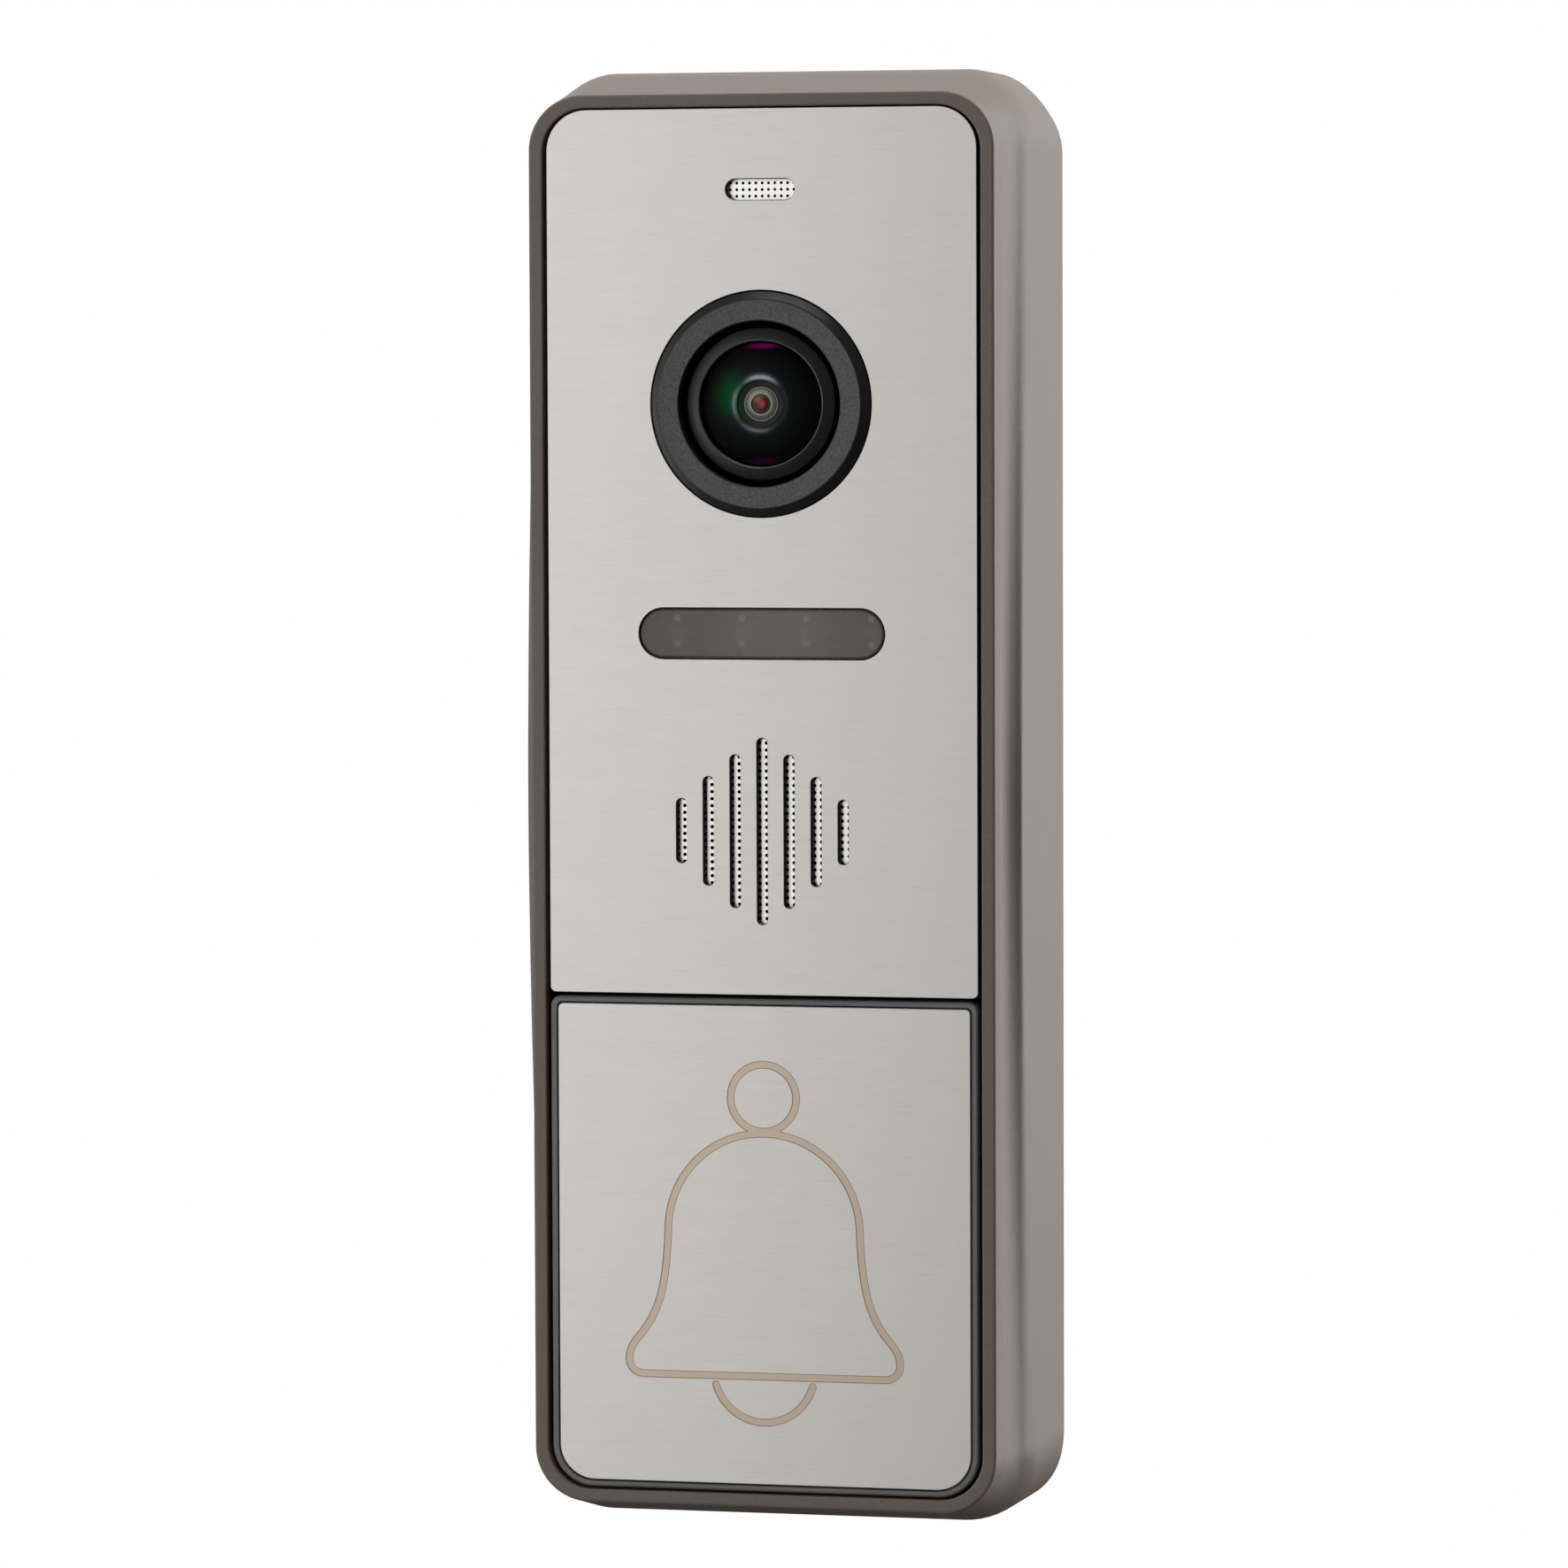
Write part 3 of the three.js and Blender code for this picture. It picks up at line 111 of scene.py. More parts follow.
class Shader:
    """A material with a Principled shader, and short calls that add its nodes and give their outputs."""

    def __init__(self, name, base, **values):
        self.material = bpy.data.materials.new(name)
        self.material.use_nodes = True
        self.nodes = self.material.node_tree.nodes
        self.links = self.material.node_tree.links
        self.bsdf = self.nodes["Principled BSDF"]
        self.place = self.nodes.new("ShaderNodeTexCoord").outputs["Object"]
        self.base = base
        self.bsdf.inputs["Base Color"].default_value = (*base, 1)
        for key, value in values.items():
            self.bsdf.inputs[key.replace("_", " ").title().replace("Ior", "IOR")].default_value = value

    def node(self, kind, inputs, **settings):
        """A new node. Each of its inputs is a constant or the output of another node."""
        node = self.nodes.new(f"ShaderNode{kind}")
        for key, value in settings.items():
            setattr(node, key, value)
        for key, value in inputs.items():
            if isinstance(value, bpy.types.NodeSocket):
                self.links.new(value, node.inputs[key])
            else:
                node.inputs[key].default_value = value
        return node

    def noise(self, scale, detail=2.0, roughness=0.5, distortion=0.0):
        """A noise of one scale, or of one scale for each axis."""
        place = self.place
        if isinstance(scale, tuple):
            place, scale = self.node("Mapping", {"Vector": place, "Scale": scale}).outputs["Vector"], 1.0
        inputs = {"Vector": place, "Scale": scale, "Detail": detail, "Roughness": roughness, "Distortion": distortion}
        return self.node("TexNoise", inputs).outputs["Fac"]

    def cells(self, scale, feature="F1"):
        return self.node("TexVoronoi", {"Vector": self.place, "Scale": scale}, feature=feature).outputs["Distance"]

    def levels(self, value, low, high, out_low=0.0, out_high=1.0, kind="LINEAR"):
        inputs = {"Value": value, "From Min": low, "From Max": high, "To Min": out_low, "To Max": out_high}
        return self.node("MapRange", inputs, interpolation_type=kind).outputs["Result"]

    def even(self, noise, low=0.0, high=1.0):
        """The usual range of a noise, spread between two values."""
        return self.levels(noise, 0.3, 0.7, low, high)

    def spot(self, centre, x, z, reach_x, reach_z, inner=0.0):
        """A soft round mark on the front, in millimetres from a centre: one in its middle, zero past its reach."""
        wide, high = reach_x * MM, reach_z * MM
        shift = (-(centre[0] + x * MM) / wide, 0, -(centre[1] + z * MM) / high)
        inputs = {"Vector": self.place, "Location": shift, "Scale": (1 / wide, 0, 1 / high)}
        away = self.node("VectorMath", {0: self.node("Mapping", inputs).outputs["Vector"]}, operation="LENGTH")
        return self.levels(away.outputs["Value"], inner, 1.0, 1.0, 0.0, "SMOOTHSTEP")

    def math(self, kind, a, b):
        return self.node("Math", {0: a, 1: b}, operation=kind).outputs["Value"]

    def total(self, *terms):
        """The sum of outputs, each times its share."""
        made = [self.math("MULTIPLY", output, share) for output, share in terms]
        so_far = made[0]
        for term in made[1:]:
            so_far = self.math("ADD", so_far, term)
        return so_far

    def blend(self, factor, a, b):
        """One colour over another by a factor. A colour is a triple or an output."""
        a, b = ((*color, 1) if isinstance(color, tuple) else color for color in (a, b))
        return self.node("Mix", {"Factor": factor, 6: a, 7: b}, data_type="RGBA").outputs[2]

    def tone(self, factor, low, high):
        """From one shade of the base colour to another."""
        return self.blend(factor, shade(self.base, low), shade(self.base, high))

    def over(self, color, mask, share, top):
        """A colour laid over another through a share of a mask. A number is a shade of the base colour."""
        top = top if isinstance(top, tuple) else shade(self.base, top)
        return self.blend(self.math("MULTIPLY", mask, share), color, top)

    def marked(self, color, centre, marks):
        """A colour with soft round marks over it, each as what spot takes, a share and a colour."""
        for place, share, top in marks:
            color = self.over(color, self.spot(centre, *place), share, top)
        return color

    def bump(self, height, strength, distance_mm, under=None):
        inputs = {"Height": height, "Strength": strength, "Distance": distance_mm * MM}
        if under is not None:
            inputs["Normal"] = under
        return self.node("Bump", inputs).outputs["Normal"]

    def made(self, color, rough, normal=None):
        """Joins the outputs to the shader and gives the material."""
        for output, socket in ((color, "Base Color"), (rough, "Roughness"), (normal, "Normal")):
            if output is not None:
                self.links.new(output, self.bsdf.inputs[socket])
        return self.material


def cast_paint():
    """Warm grey-brown satin paint on a casting, with a fine speckle and a slight orange peel."""
    s = Shader("cast_paint", (0.250, 0.202, 0.170), ior=1.45)
    speckle = s.levels(s.noise(5200, 3, 0.6), 0.38, 0.66)
    broad = s.levels(s.noise(45), 0.35, 0.65)
    flecks = s.levels(s.cells(3800), 0.10, 0.24, 1.0, 0.0)
    color = s.over(s.tone(speckle, 0.90, 1.08), broad, 0.35, 1.06)
    color = s.over(color, flecks, 0.22, 1.55)
    peel = s.bump(s.noise(900, 1), 0.10, 0.05)
    return s.made(color, s.levels(speckle, 0, 1, 0.42, 0.56), s.bump(speckle, 0.20, 0.02, peel))


def brushed_steel():
    """Stainless sheet brushed from side to side, with single darker and brighter hairs."""
    s = Shader("brushed_steel", (0.60, 0.582, 0.553), metallic=1.0)
    fine = s.noise((380, 900, 10400), 3, 0.7)
    dark_hairs = s.levels(s.noise((330, 300, 8200), 1), 0.66, 0.82)
    bright_hairs = s.levels(s.noise((290, 330, 8900), 1), 0.68, 0.84)
    cloud = s.levels(s.noise(30), 0.35, 0.65)
    color = s.over(s.tone(s.even(fine), 0.97, 1.025), dark_hairs, 0.46, 0.80)
    color = s.over(color, bright_hairs, 0.48, 1.16)
    color = s.over(color, cloud, 0.12, 1.04)
    return s.made(color, s.even(s.noise((420, 300, 8200)), 0.32, 0.345), s.bump(fine, 0.03, 0.004))


def scorched_edge():
    """The darker edge of a laser line."""
    s = Shader("scorched_edge", (0.34, 0.26, 0.19), metallic=1.0)
    soot = s.even(s.noise(6000))
    return s.made(s.tone(soot, 0.85, 1.15), s.levels(soot, 0, 1, 0.36, 0.44))


def engraved_line():
    """The warm brown that a laser leaves on steel."""
    s = Shader("engraved_line", (0.53, 0.44, 0.335), metallic=1.0)
    scan = s.even(s.noise((9000, 900, 7000), 3, 0.6))
    return s.made(s.tone(scan, 0.96, 1.04), s.levels(scan, 0, 1, 0.32, 0.37), s.bump(scan, 0.06, 0.005))


def grained_plastic(name, base, scale, strength, rough):
    """Moulded plastic with the grain of an etched tool."""
    s = Shader(name, base, ior=1.5)
    fuzz = s.noise(scale * 0.7, 3, 0.6)
    pits = s.levels(s.cells(scale, "SMOOTH_F1"), 0.15, 0.75)
    height = s.math("ADD", pits, s.math("MULTIPLY", fuzz, 0.6))
    color = s.tone(s.levels(height, 0.3, 1.2), 0.75, 1.25)
    return s.made(color, s.even(fuzz, *rough), s.bump(height, strength, 0.04))


def sparkling_grain():
    """The camera ring's black plastic with a coarse grain, and small pale painted highlights in its colour where the
    grain would catch the light.
    """
    s = Shader("grained_black", (0.125, 0.124, 0.120), ior=1.5)
    grain = s.noise(4600, 4, 0.75)
    # Painted highlights: small pale dots in the colour, for the grain catching the light.
    painted_sparkle = s.levels(s.noise(7400, 2, 0.6), 0.56, 0.70)
    color = s.over(s.tone(s.levels(grain, 0.34, 0.66), 0.55, 1.45), painted_sparkle, 0.7, 2.4)
    return s.made(color, s.even(grain, 0.45, 0.62), s.bump(grain, 0.8, 0.03))


def grainy(name, base, grain, tones, rough_grain, rough, bump=None, **values):
    """One colour whose tone, roughness and surface vary with a noise. A grain is what noise takes, and the
    roughness has the same one if it has none of its own."""
    s = Shader(name, base, **values)
    noise = s.noise(*grain)
    rough = s.even(s.noise(*rough_grain) if rough_grain else noise, *rough)
    return s.made(s.tone(s.even(noise), *tones), rough, s.bump(noise, *bump) if bump else None)


def smooth_plastic(name, base, rough, **values):
    """Moulded plastic from a polished tool, with faint flow marks."""
    spread = (rough * 0.85, rough * 1.2)
    return grainy(name, base, (160,), (0.92, 1.08), (900,), spread, (0.04, 0.03), ior=1.5, **values)


def anodised(name, base, rough):
    """Turned aluminium, finely blasted and anodised black."""
    spread = (rough * 0.9, rough * 1.15)
    return grainy(name, base, (7000,), (0.88, 1.14), (400,), spread, (0.10, 0.01), metallic=0.6)


def smoked_window():
    """Smoked grey plastic over the lamps, whose places show faintly through it as small painted highlights; the pane
    is also painted lighter around its middle and darker towards its ends.
    """
    s = Shader("smoked_window", (0.195, 0.178, 0.166), ior=1.5)
    flow = s.tone(s.even(s.noise(90, 1)), 0.97, 1.03)
    # Painted light: the pane is lighter around its middle and painted darker towards its ends.
    color = s.blend(s.spot(LAMP_WINDOW.middle, 1.5, 0, 14, 14), shade(s.base, 0.55), flow)
    # Painted highlights: at each lamp two small pale marks and a faint wide one stand for the lamp behind the pane.
    painted_lamp_highlight = (0.42, 0.41, 0.40)
    marks = [
        ((1.1, 1.35, 0.48, 0.48), 0.62, painted_lamp_highlight),
        ((1.1, -0.9, 0.48, 0.48), 0.50, painted_lamp_highlight),
        ((1.1, 0, 1.5, 1.5), 0.12, painted_lamp_highlight),
    ]
    for i in range(1, 5):
        color = s.marked(color, Edges(f"lamp_{i}").middle, marks)
    return s.made(color, s.even(s.noise(1200), 0.22, 0.30), s.bump(s.noise(2600), 0.04, 0.02))


def coated_glass(name, tint, film):
    """Optical glass whose coating tints what it reflects, with a little dust."""
    values = dict(transmission_weight=1.0, ior=1.52, roughness=0.0)
    s = Shader(name, tint, thin_film_thickness=film, thin_film_ior=1.36, **values)
    dust = s.levels(s.cells(900), 0.0, 0.03, 1.0, 0.0)
    return s.made(None, s.levels(dust, 0, 1, 0.0, 0.12))


def bright_mesh():
    """The bright rolled steel of the perforated sheets."""
    s = Shader("perforated_steel", (0.92, 0.91, 0.89), metallic=1.0)
    roll = s.noise((900, 900, 200))
    return s.made(s.tone(s.even(roll), 0.94, 1.05), s.even(roll, 0.31, 0.36), s.bump(s.noise(3000), 0.03, 0.006))


def soft_rubber():
    """Black rubber with a pale bloom."""
    s = Shader("rubber", (0.022, 0.022, 0.023), ior=1.5)
    bloom = s.noise(700, 3, 0.6)
    color = s.tone(s.levels(bloom, 0.35, 0.7), 1, 1.7)
    return s.made(color, s.even(bloom, 0.62, 0.82), s.bump(s.noise(3500), 0.15, 0.03))


def plated_steel(name, base, rough=0.34, spangle=380):
    """Zinc-plated steel with the soft spangle and scuffs of handled hardware."""
    s = Shader(name, base, metallic=1.0)
    scuff = s.levels(s.noise((500, 500, 4200)), 0.55, 0.75)
    color = s.over(s.tone(s.levels(s.cells(spangle), 0.0, 0.8), 0.93, 1.07), scuff, 0.3, 1.22)
    return s.made(color, s.even(s.noise(260, 3), rough * 0.8, rough * 1.3), s.bump(scuff, 0.08, 0.01))


def circuit_board():
    """Green solder mask over faint copper tracks."""
    s = Shader("circuit_board", (0.012, 0.13, 0.05), ior=1.5, coat_weight=0.4)
    tracks = s.levels(s.cells(420, "DISTANCE_TO_EDGE"), 0.02, 0.06, 1.0, 0.0)
    color = s.over(s.base, tracks, 0.55, (0.03, 0.24, 0.08))
    return s.made(color, s.even(s.noise(900), 0.30, 0.42), s.bump(tracks, 0.3, 0.02))


def clear_front():
    """The thin clear dome over the lens. It hardly mirrors the room, thanks to its coating."""
    s = Shader("front_glass", (0.002, 0.003, 0.003), alpha=0.10, ior=1.4, roughness=0.03, specular_ior_level=0.1)
    haze = s.noise(300)
    return s.made(s.blend(haze, (0.001, 0.002, 0.002), (0.003, 0.004, 0.004)), s.even(haze, 0.02, 0.05))


def coating_and_painted_reflections():
    """The dark surface under the dome, with painted reflections: a green glow left of the middle, a magenta arc at the
    top, a faint purple arc at the bottom, and a pale ring around the bore painted brightest at its top.
    """
    s = Shader("coating_and_painted_reflections", (0.002, 0.004, 0.004), ior=1.45, roughness=0.35, specular_ior_level=0.04)
    middle = s.spot(LENS_AXIS, 0, 0, 5.2, 5.2, 0.2)
    color = s.blend(middle, (0.008, 0.008, 0.009), (0.026, 0.036, 0.036))
    # Painted reflections: a green glow left of the middle, a magenta arc at the top and a faint purple arc at the
    # bottom.
    color = s.marked(color, LENS_AXIS, [
        ((-2.5, 0.7, 2.3, 2.9), 1.0, (0.0, 0.15, 0.035)),
        ((0.1, 5.35, 2.6, 0.62, 0.25), 0.9, (0.58, 0.0, 0.32)),
        ((0.2, -5.25, 2.2, 0.65, 0.2), 0.8, (0.10, 0.0, 0.06)),
    ])
    # Painted light on the pale ring and its halo: brightest at the top, fainter at the left and lower left, nearly
    # gone on the right.
    rings = ((2.95, 0.76), (2.62, 0.92), (2.34, 0.92))
    glow, outside, inside = (s.spot(LENS_AXIS, 0, 0, reach, reach, inner) for reach, inner in rings)
    ring = s.total((glow, 0.42), (s.math("SUBTRACT", outside, inside), 0.85))
    top = s.spot(LENS_AXIS, 0.1, 2.5, 2.2, 1.7, 0.1)
    left = s.spot(LENS_AXIS, -2.4, 0.2, 1.6, 2.3, 0.1)
    low = s.spot(LENS_AXIS, -0.6, -2.5, 2.4, 1.6, 0.1)
    light = s.math("ADD", s.total((top, 0.95), (left, 0.33), (low, 0.28)), 0.05)
    color = s.blend(s.math("MULTIPLY", light, ring), color, (0.78, 0.95, 0.98))
    return s.made(color, s.even(s.noise(500), 0.30, 0.42))


def bore_coating_and_painted_reflection():
    """The wall of the bore: near black, with a painted green reflection on its left side."""
    s = Shader("bore_coating_and_painted_reflection", (0.02, 0.03, 0.02), ior=1.45, roughness=0.4)
    # Painted reflection: green on the left side of the bore.
    color = s.blend(s.spot(LENS_AXIS, -1.7, 0, 2.0, 2.6), (0.020, 0.028, 0.022), (0.006, 0.100, 0.014))
    return s.made(color, s.even(s.noise(900), 0.36, 0.46))


def lens_spacer():
    """The pale ring in the bore, with painted light making it lighter towards its upper left."""
    s = Shader("lens_spacer", (0.5, 0.5, 0.4), ior=1.5, roughness=0.45)
    # Painted light: lighter towards the upper left, painted darker away from it.
    pale = s.blend(s.spot(LENS_AXIS, -0.5, 0.9, 2.6, 2.6), (0.22, 0.21, 0.16), (0.98, 1.0, 0.66))
    color = s.blend(s.spot(LENS_AXIS, 0, 0, 1.56, 1.56, 0.62), (0.05, 0.08, 0.05), pale)
    return s.made(color, s.even(s.noise(900), 0.40, 0.50))


def lens_centre():
    """The innermost element: pink in the middle and orange towards its upper left."""
    s = Shader("lens_centre", (0.03, 0.01, 0.01), ior=1.45, roughness=0.2, specular_ior_level=0.25)
    color = s.blend(s.spot(LENS_AXIS, 0, 0, 0.95, 0.95, 0.5), (0.22, 0.17, 0.13), (0.11, 0.03, 0.035))
    color = s.marked(color, LENS_AXIS, [
        ((-0.35, 0.45, 0.75, 0.55, 0.1), 1.0, (0.62, 0.29, 0.06)),
        ((0.08, 0, 0.50, 0.50, 0.35), 1.0, (0.80, 0.09, 0.17)),
        ((0.12, -0.02, 0.16, 0.22, 0.2), 1.0, (1.0, 0.24, 0.38)),
    ])
    return s.made(color, s.even(s.noise(900), 0.16, 0.24))


PAINT = cast_paint()
STEEL = brushed_steel()
ENGRAVED = engraved_line()
SCORCHED = scorched_edge()
GRAINED_BLACK = sparkling_grain()
SMOOTH_BLACK = smooth_plastic("smooth_black", (0.024, 0.024, 0.023), 0.34)
CUT_EDGE = plated_steel("cut_edge", (0.07, 0.068, 0.066), 0.5)
MATT_BLACK = grained_plastic("matt_black", (0.014, 0.014, 0.014), 5200, 0.3, (0.6, 0.75))
REAR_PLASTIC = grained_plastic("rear_plastic", (0.040, 0.040, 0.042), 2600, 0.55, (0.5, 0.66))
CARRIER_PLASTIC = smooth_plastic("carrier_plastic", (0.165, 0.163, 0.160), 0.34, coat_weight=0.3)
WINDOW = smoked_window()
ANODISED = anodised("anodised_black", (0.061, 0.060, 0.059), 0.36)
BLACKENED = anodised("blackened_bore", (0.008, 0.008, 0.009), 0.55)
FRONT_GLASS = clear_front()
COATING_AND_PAINTED_REFLECTIONS = coating_and_painted_reflections()
BORE_COATING_AND_PAINTED_REFLECTION = bore_coating_and_painted_reflection()
SPACER = lens_spacer()
SPACER_EDGE = smooth_plastic("spacer_edge", (0.90, 0.92, 0.86), 0.35)
LENS_CENTRE = lens_centre()
POLISHED_EDGE = anodised("polished_edge", (0.13, 0.13, 0.135), 0.28)
INNER_GLASS = coated_glass("inner_glass", (0.80, 0.97, 0.86), 470.0)
REAR_GLASS = coated_glass("rear_glass", (0.98, 0.82, 0.70), 380.0)
MESH_STEEL = bright_mesh()
RUBBER = soft_rubber()
ZINC = plated_steel("zinc", (0.56, 0.56, 0.57))
BRACKET_STEEL = plated_steel("bracket_steel", (0.25, 0.25, 0.248), 0.46, 240)
SPRING_STEEL = plated_steel("spring_steel", (0.50, 0.49, 0.48), 0.28, 900)
BOARD = circuit_board()
CHIP = grainy("chip", (0.018, 0.018, 0.020), (5200,), (0.8, 1.5), None, (0.45, 0.6), (0.2, 0.01), ior=1.5)
WHITE_PLASTIC = smooth_plastic("white_plastic", (0.74, 0.72, 0.67), 0.4)
LAMP = grainy("lamp", (0.78, 0.70, 0.32), (1500,), (0.9, 1.05), (700,), (0.18, 0.3), ior=1.5, coat_weight=0.5)
PAPER = grainy("cone_paper", (0.030, 0.029, 0.028), (2600, 4, 0.7, 1.2), (0.7, 1.6), None, (0.8, 0.95), (0.4, 0.03))

# ---------------------------------------------------------------- objects and meshes


def placed(name, data):
    """A new object in the scene."""
    thing = bpy.data.objects.new(name, data)
    bpy.context.scene.collection.objects.link(thing)
    return thing


def frozen(thing, *helpers):
    """The mesh of an object as its modifiers leave it. The object and its helpers are removed."""
    bpy.context.view_layer.update()
    mesh = bpy.data.meshes.new_from_object(thing.evaluated_get(bpy.context.evaluated_depsgraph_get()))
    for used in (thing, *helpers):
        bpy.data.objects.remove(used)
    return mesh


def finish_piece(name, mesh, materials, nodes, sharp=35, body="case"):
    """Puts a mesh in the scene as a piece that rides on a body and stands for its CAD nodes."""
    bm = bmesh.new()
    bm.from_mesh(mesh)
    bmesh.ops.remove_doubles(bm, verts=bm.verts, dist=1e-7)
    bmesh.ops.dissolve_degenerate(bm, edges=bm.edges, dist=1e-8)
    bmesh.ops.recalc_face_normals(bm, faces=bm.faces)
    limit = math.radians(sharp)
    facing = {face for face in bm.faces if abs(face.normal.y) > 0.9999}
    for face in bm.faces:
        face.smooth = True
    for edge in bm.edges:
        sides = sum(face in facing for face in edge.link_faces)
        edge.smooth = sides != 1 and not (edge.is_manifold and edge.calc_face_angle(0) > limit)
    bm.to_mesh(mesh)
    bm.free()
    mesh.name = name
    if not mesh.materials:
        for material in materials:
            mesh.materials.append(material)
    piece = placed(name, mesh)
    piece.modifiers.new("flat faces stay flat", "WEIGHTED_NORMAL").keep_sharp = True
    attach(piece, body)
    if nodes:
        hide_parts(*nodes)
    return piece


def mesh_of(bm, name="mesh"):
    mesh = bpy.data.meshes.new(name)
    bm.to_mesh(mesh)
    bm.free()
    return mesh


def loft(rings, closed=False):
    """A skin through rings of points, each of the same count. An open loft is capped at both ends."""
    bm = bmesh.new()
    loops = [[bm.verts.new(p) for p in ring] for ring in rings]
    count = len(loops[0])
    for band in range(len(loops) if closed else len(loops) - 1):
        a, b = loops[band], loops[(band + 1) % len(loops)]
        for i in range(count):
            j = (i + 1) % count
            bm.faces.new((a[i], a[j], b[j], b[i]))
    if not closed:
        for loop in (loops[0], loops[-1]):
            bm.faces.new(loop)
    bmesh.ops.recalc_face_normals(bm, faces=bm.faces)
    return mesh_of(bm)


def outline(left, right, bottom, top, top_radius, bottom_radius, arc=12, sides=1, ends=1):
    """A rounded rectangle in X and Z as (point, outward normal) pairs, anticlockwise from the lower right."""
    centres = [
        (right - bottom_radius, bottom + bottom_radius, bottom_radius),
        (right - top_radius, top - top_radius, top_radius),
        (left + top_radius, top - top_radius, top_radius),
        (left + bottom_radius, bottom + bottom_radius, bottom_radius),
    ]
    points = []
    for quarter, (x, z, radius) in enumerate(centres):
        for i in range(arc + 1):
            angle = (quarter - 1 + i / arc) * math.pi / 2
            normal = Vector((math.cos(angle), math.sin(angle)))
            points.append((Vector((x, z)) + normal * radius, normal))
        here, normal = points[-1]
        next_x, next_z, next_radius = centres[(quarter + 1) % 4]
        there = Vector((next_x, next_z)) + normal * next_radius
        steps = sides if quarter % 2 == 0 else ends
        for i in range(1, steps):
            points.append((here.lerp(there, i / steps), normal))
    return points


def centred(half_width, half_height, radius, **steps):
    return outline(-half_width, half_width, -half_height, half_height, radius, radius, **steps)


def ring_at(points, y, out=0.0):
    """An outline pushed outwards and set at a depth."""
    return [(p.x + n.x * out, y, p.y + n.y * out) for p, n in points]


def circle(sides, turn=0.0):
    """The points of a unit circle, turned by a share of a step."""
    return [(math.cos(a), math.sin(a)) for a in (2 * math.pi * (i + turn) / sides for i in range(sides))]


def turned(profile, x=0.0, z=0.0, sides=96, tags=None):
    """A solid turned around an axis along Y, from (radius, y) points. tags gives each stretch its material."""
    on_axis = 1e-9
    bm = bmesh.new()
    rings = []
    for radius, y in profile:
        spokes = circle(sides) if radius > on_axis else [(0, 0)]
        rings.append([bm.verts.new((x + radius * c, y, z + radius * s)) for c, s in spokes])
    meets_axis = len(rings[0]) == 1 and len(rings[-1]) == 1
    for band in range(len(rings) - 1 if meets_axis else len(rings)):
        a, b = rings[band], rings[(band + 1) % len(rings)]
        for i in range(sides):
            j = (i + 1) % sides
            corners = [a[i % len(a)], a[j % len(a)], b[j % len(b)], b[i % len(b)]]
            unique = list(dict.fromkeys(corners))
            if len(unique) > 2:
                bm.faces.new(unique).material_index = tags[band] if tags else 0
    bmesh.ops.recalc_face_normals(bm, faces=bm.faces)
    return mesh_of(bm)


def curve_points(start, control, end, steps):
    """Points of a curve that starts and ends towards its control point."""
    shares = [i / steps for i in range(steps + 1)]
    return [start.lerp(control, t).lerp(control.lerp(end, t), t) for t in shares]


def softened(points, radius, steps=4, closed=True):
    """A polygon whose corners are rounded. A corner takes at most half of its shorter side."""
    made = []
    count = len(points)
    for i, point in enumerate(points):
        if not closed and i in (0, count - 1):
            made.append(tuple(point))
            continue
        here = Vector(point)
        before, after = Vector(points[i - 1]) - here, Vector(points[(i + 1) % count]) - here
        reach = min(radius, before.length * 0.45, after.length * 0.45)
        start, end = here + before.normalized() * reach, here + after.normalized() * reach
        made += [tuple(p) for p in curve_points(start, here, end, steps)]
    return made


def bow(radius, centre_y, start, end, steps):
    """Points of an arc in a turned profile, from one angle off the axis to another."""
    angles = [start + (end - start) * i / steps for i in range(steps + 1)]
    return [(radius * math.sin(a), centre_y - radius * math.cos(a)) for a in angles]


def cap_radius(half_chord, height):
    """The radius of an arc that rises by a height over a chord."""
    return (half_chord**2 + height**2) / (2 * height)


def poly_curve(name, dimensions, loops, cyclic):
    """A curve with one polyline for each loop of points."""
    curve = bpy.data.curves.new(name, "CURVE")
    curve.dimensions = dimensions
    for loop in loops:
        spline = curve.splines.new("POLY")
        spline.points.add(len(loop) - 1)
        for point, place in zip(spline.points, loop):
            point.co = (*place, 1)
        spline.use_cyclic_u = cyclic
    return curve


def sheet_with_holes(outer, holes, front, back, bevel):
    """A flat sheet between two depths with rounded edges, from outlines in X and Z."""
    curve = poly_curve("sheet", "2D", [[(x, z, 0) for x, z in loop] for loop in (outer, *holes)], True)
    curve.fill_mode = "BOTH"
    curve.bevel_depth = bevel
    curve.bevel_resolution = 2
    curve.offset = -bevel
    curve.extrude = (back - front) / 2 - bevel
    mesh = frozen(placed("sheet", curve))
    mesh.transform(Matrix.Translation((0, (front + back) / 2, 0)) @ Matrix.Rotation(math.pi / 2, 4, "X"))
    return mesh


def loop_of(points):
    return [tuple(p) for p, _ in points]


def round_hole(x, z, radius, sides=32):
    return [(x + radius * c, z + radius * s) for c, s in circle(sides)]


def rounded_hole(left, right, bottom, top, radius, arc):
    return loop_of(outline(left, right, bottom, top, radius, radius, arc))


def pill(x, z, half_width, half_height, arc=10):
    radius = min(half_width, half_height) * 0.999
    return rounded_hole(x - half_width, x + half_width, z - half_height, z + half_height, radius, arc)


def prism(loop, front, back):
    """A straight-sided block between two depths, from an outline in X and Z."""
    return loft([[(x, y, z) for x, z in loop] for y in (front, back)])


def rod_mesh(x, z, radius, front, back, sides=32):
    return prism(round_hole(x, z, radius, sides), front, back)


def block(x0, x1, y0, y1, z0, z1):
    return prism([(x0, z0), (x1, z0), (x1, z1), (x0, z1)], y0, y1)


def upright_rod(x, y, radius, z0, z1):
    ring = round_hole(x, y, radius)
    return loft([[(a, b, z) for a, b in ring] for z in (z0, z1)])


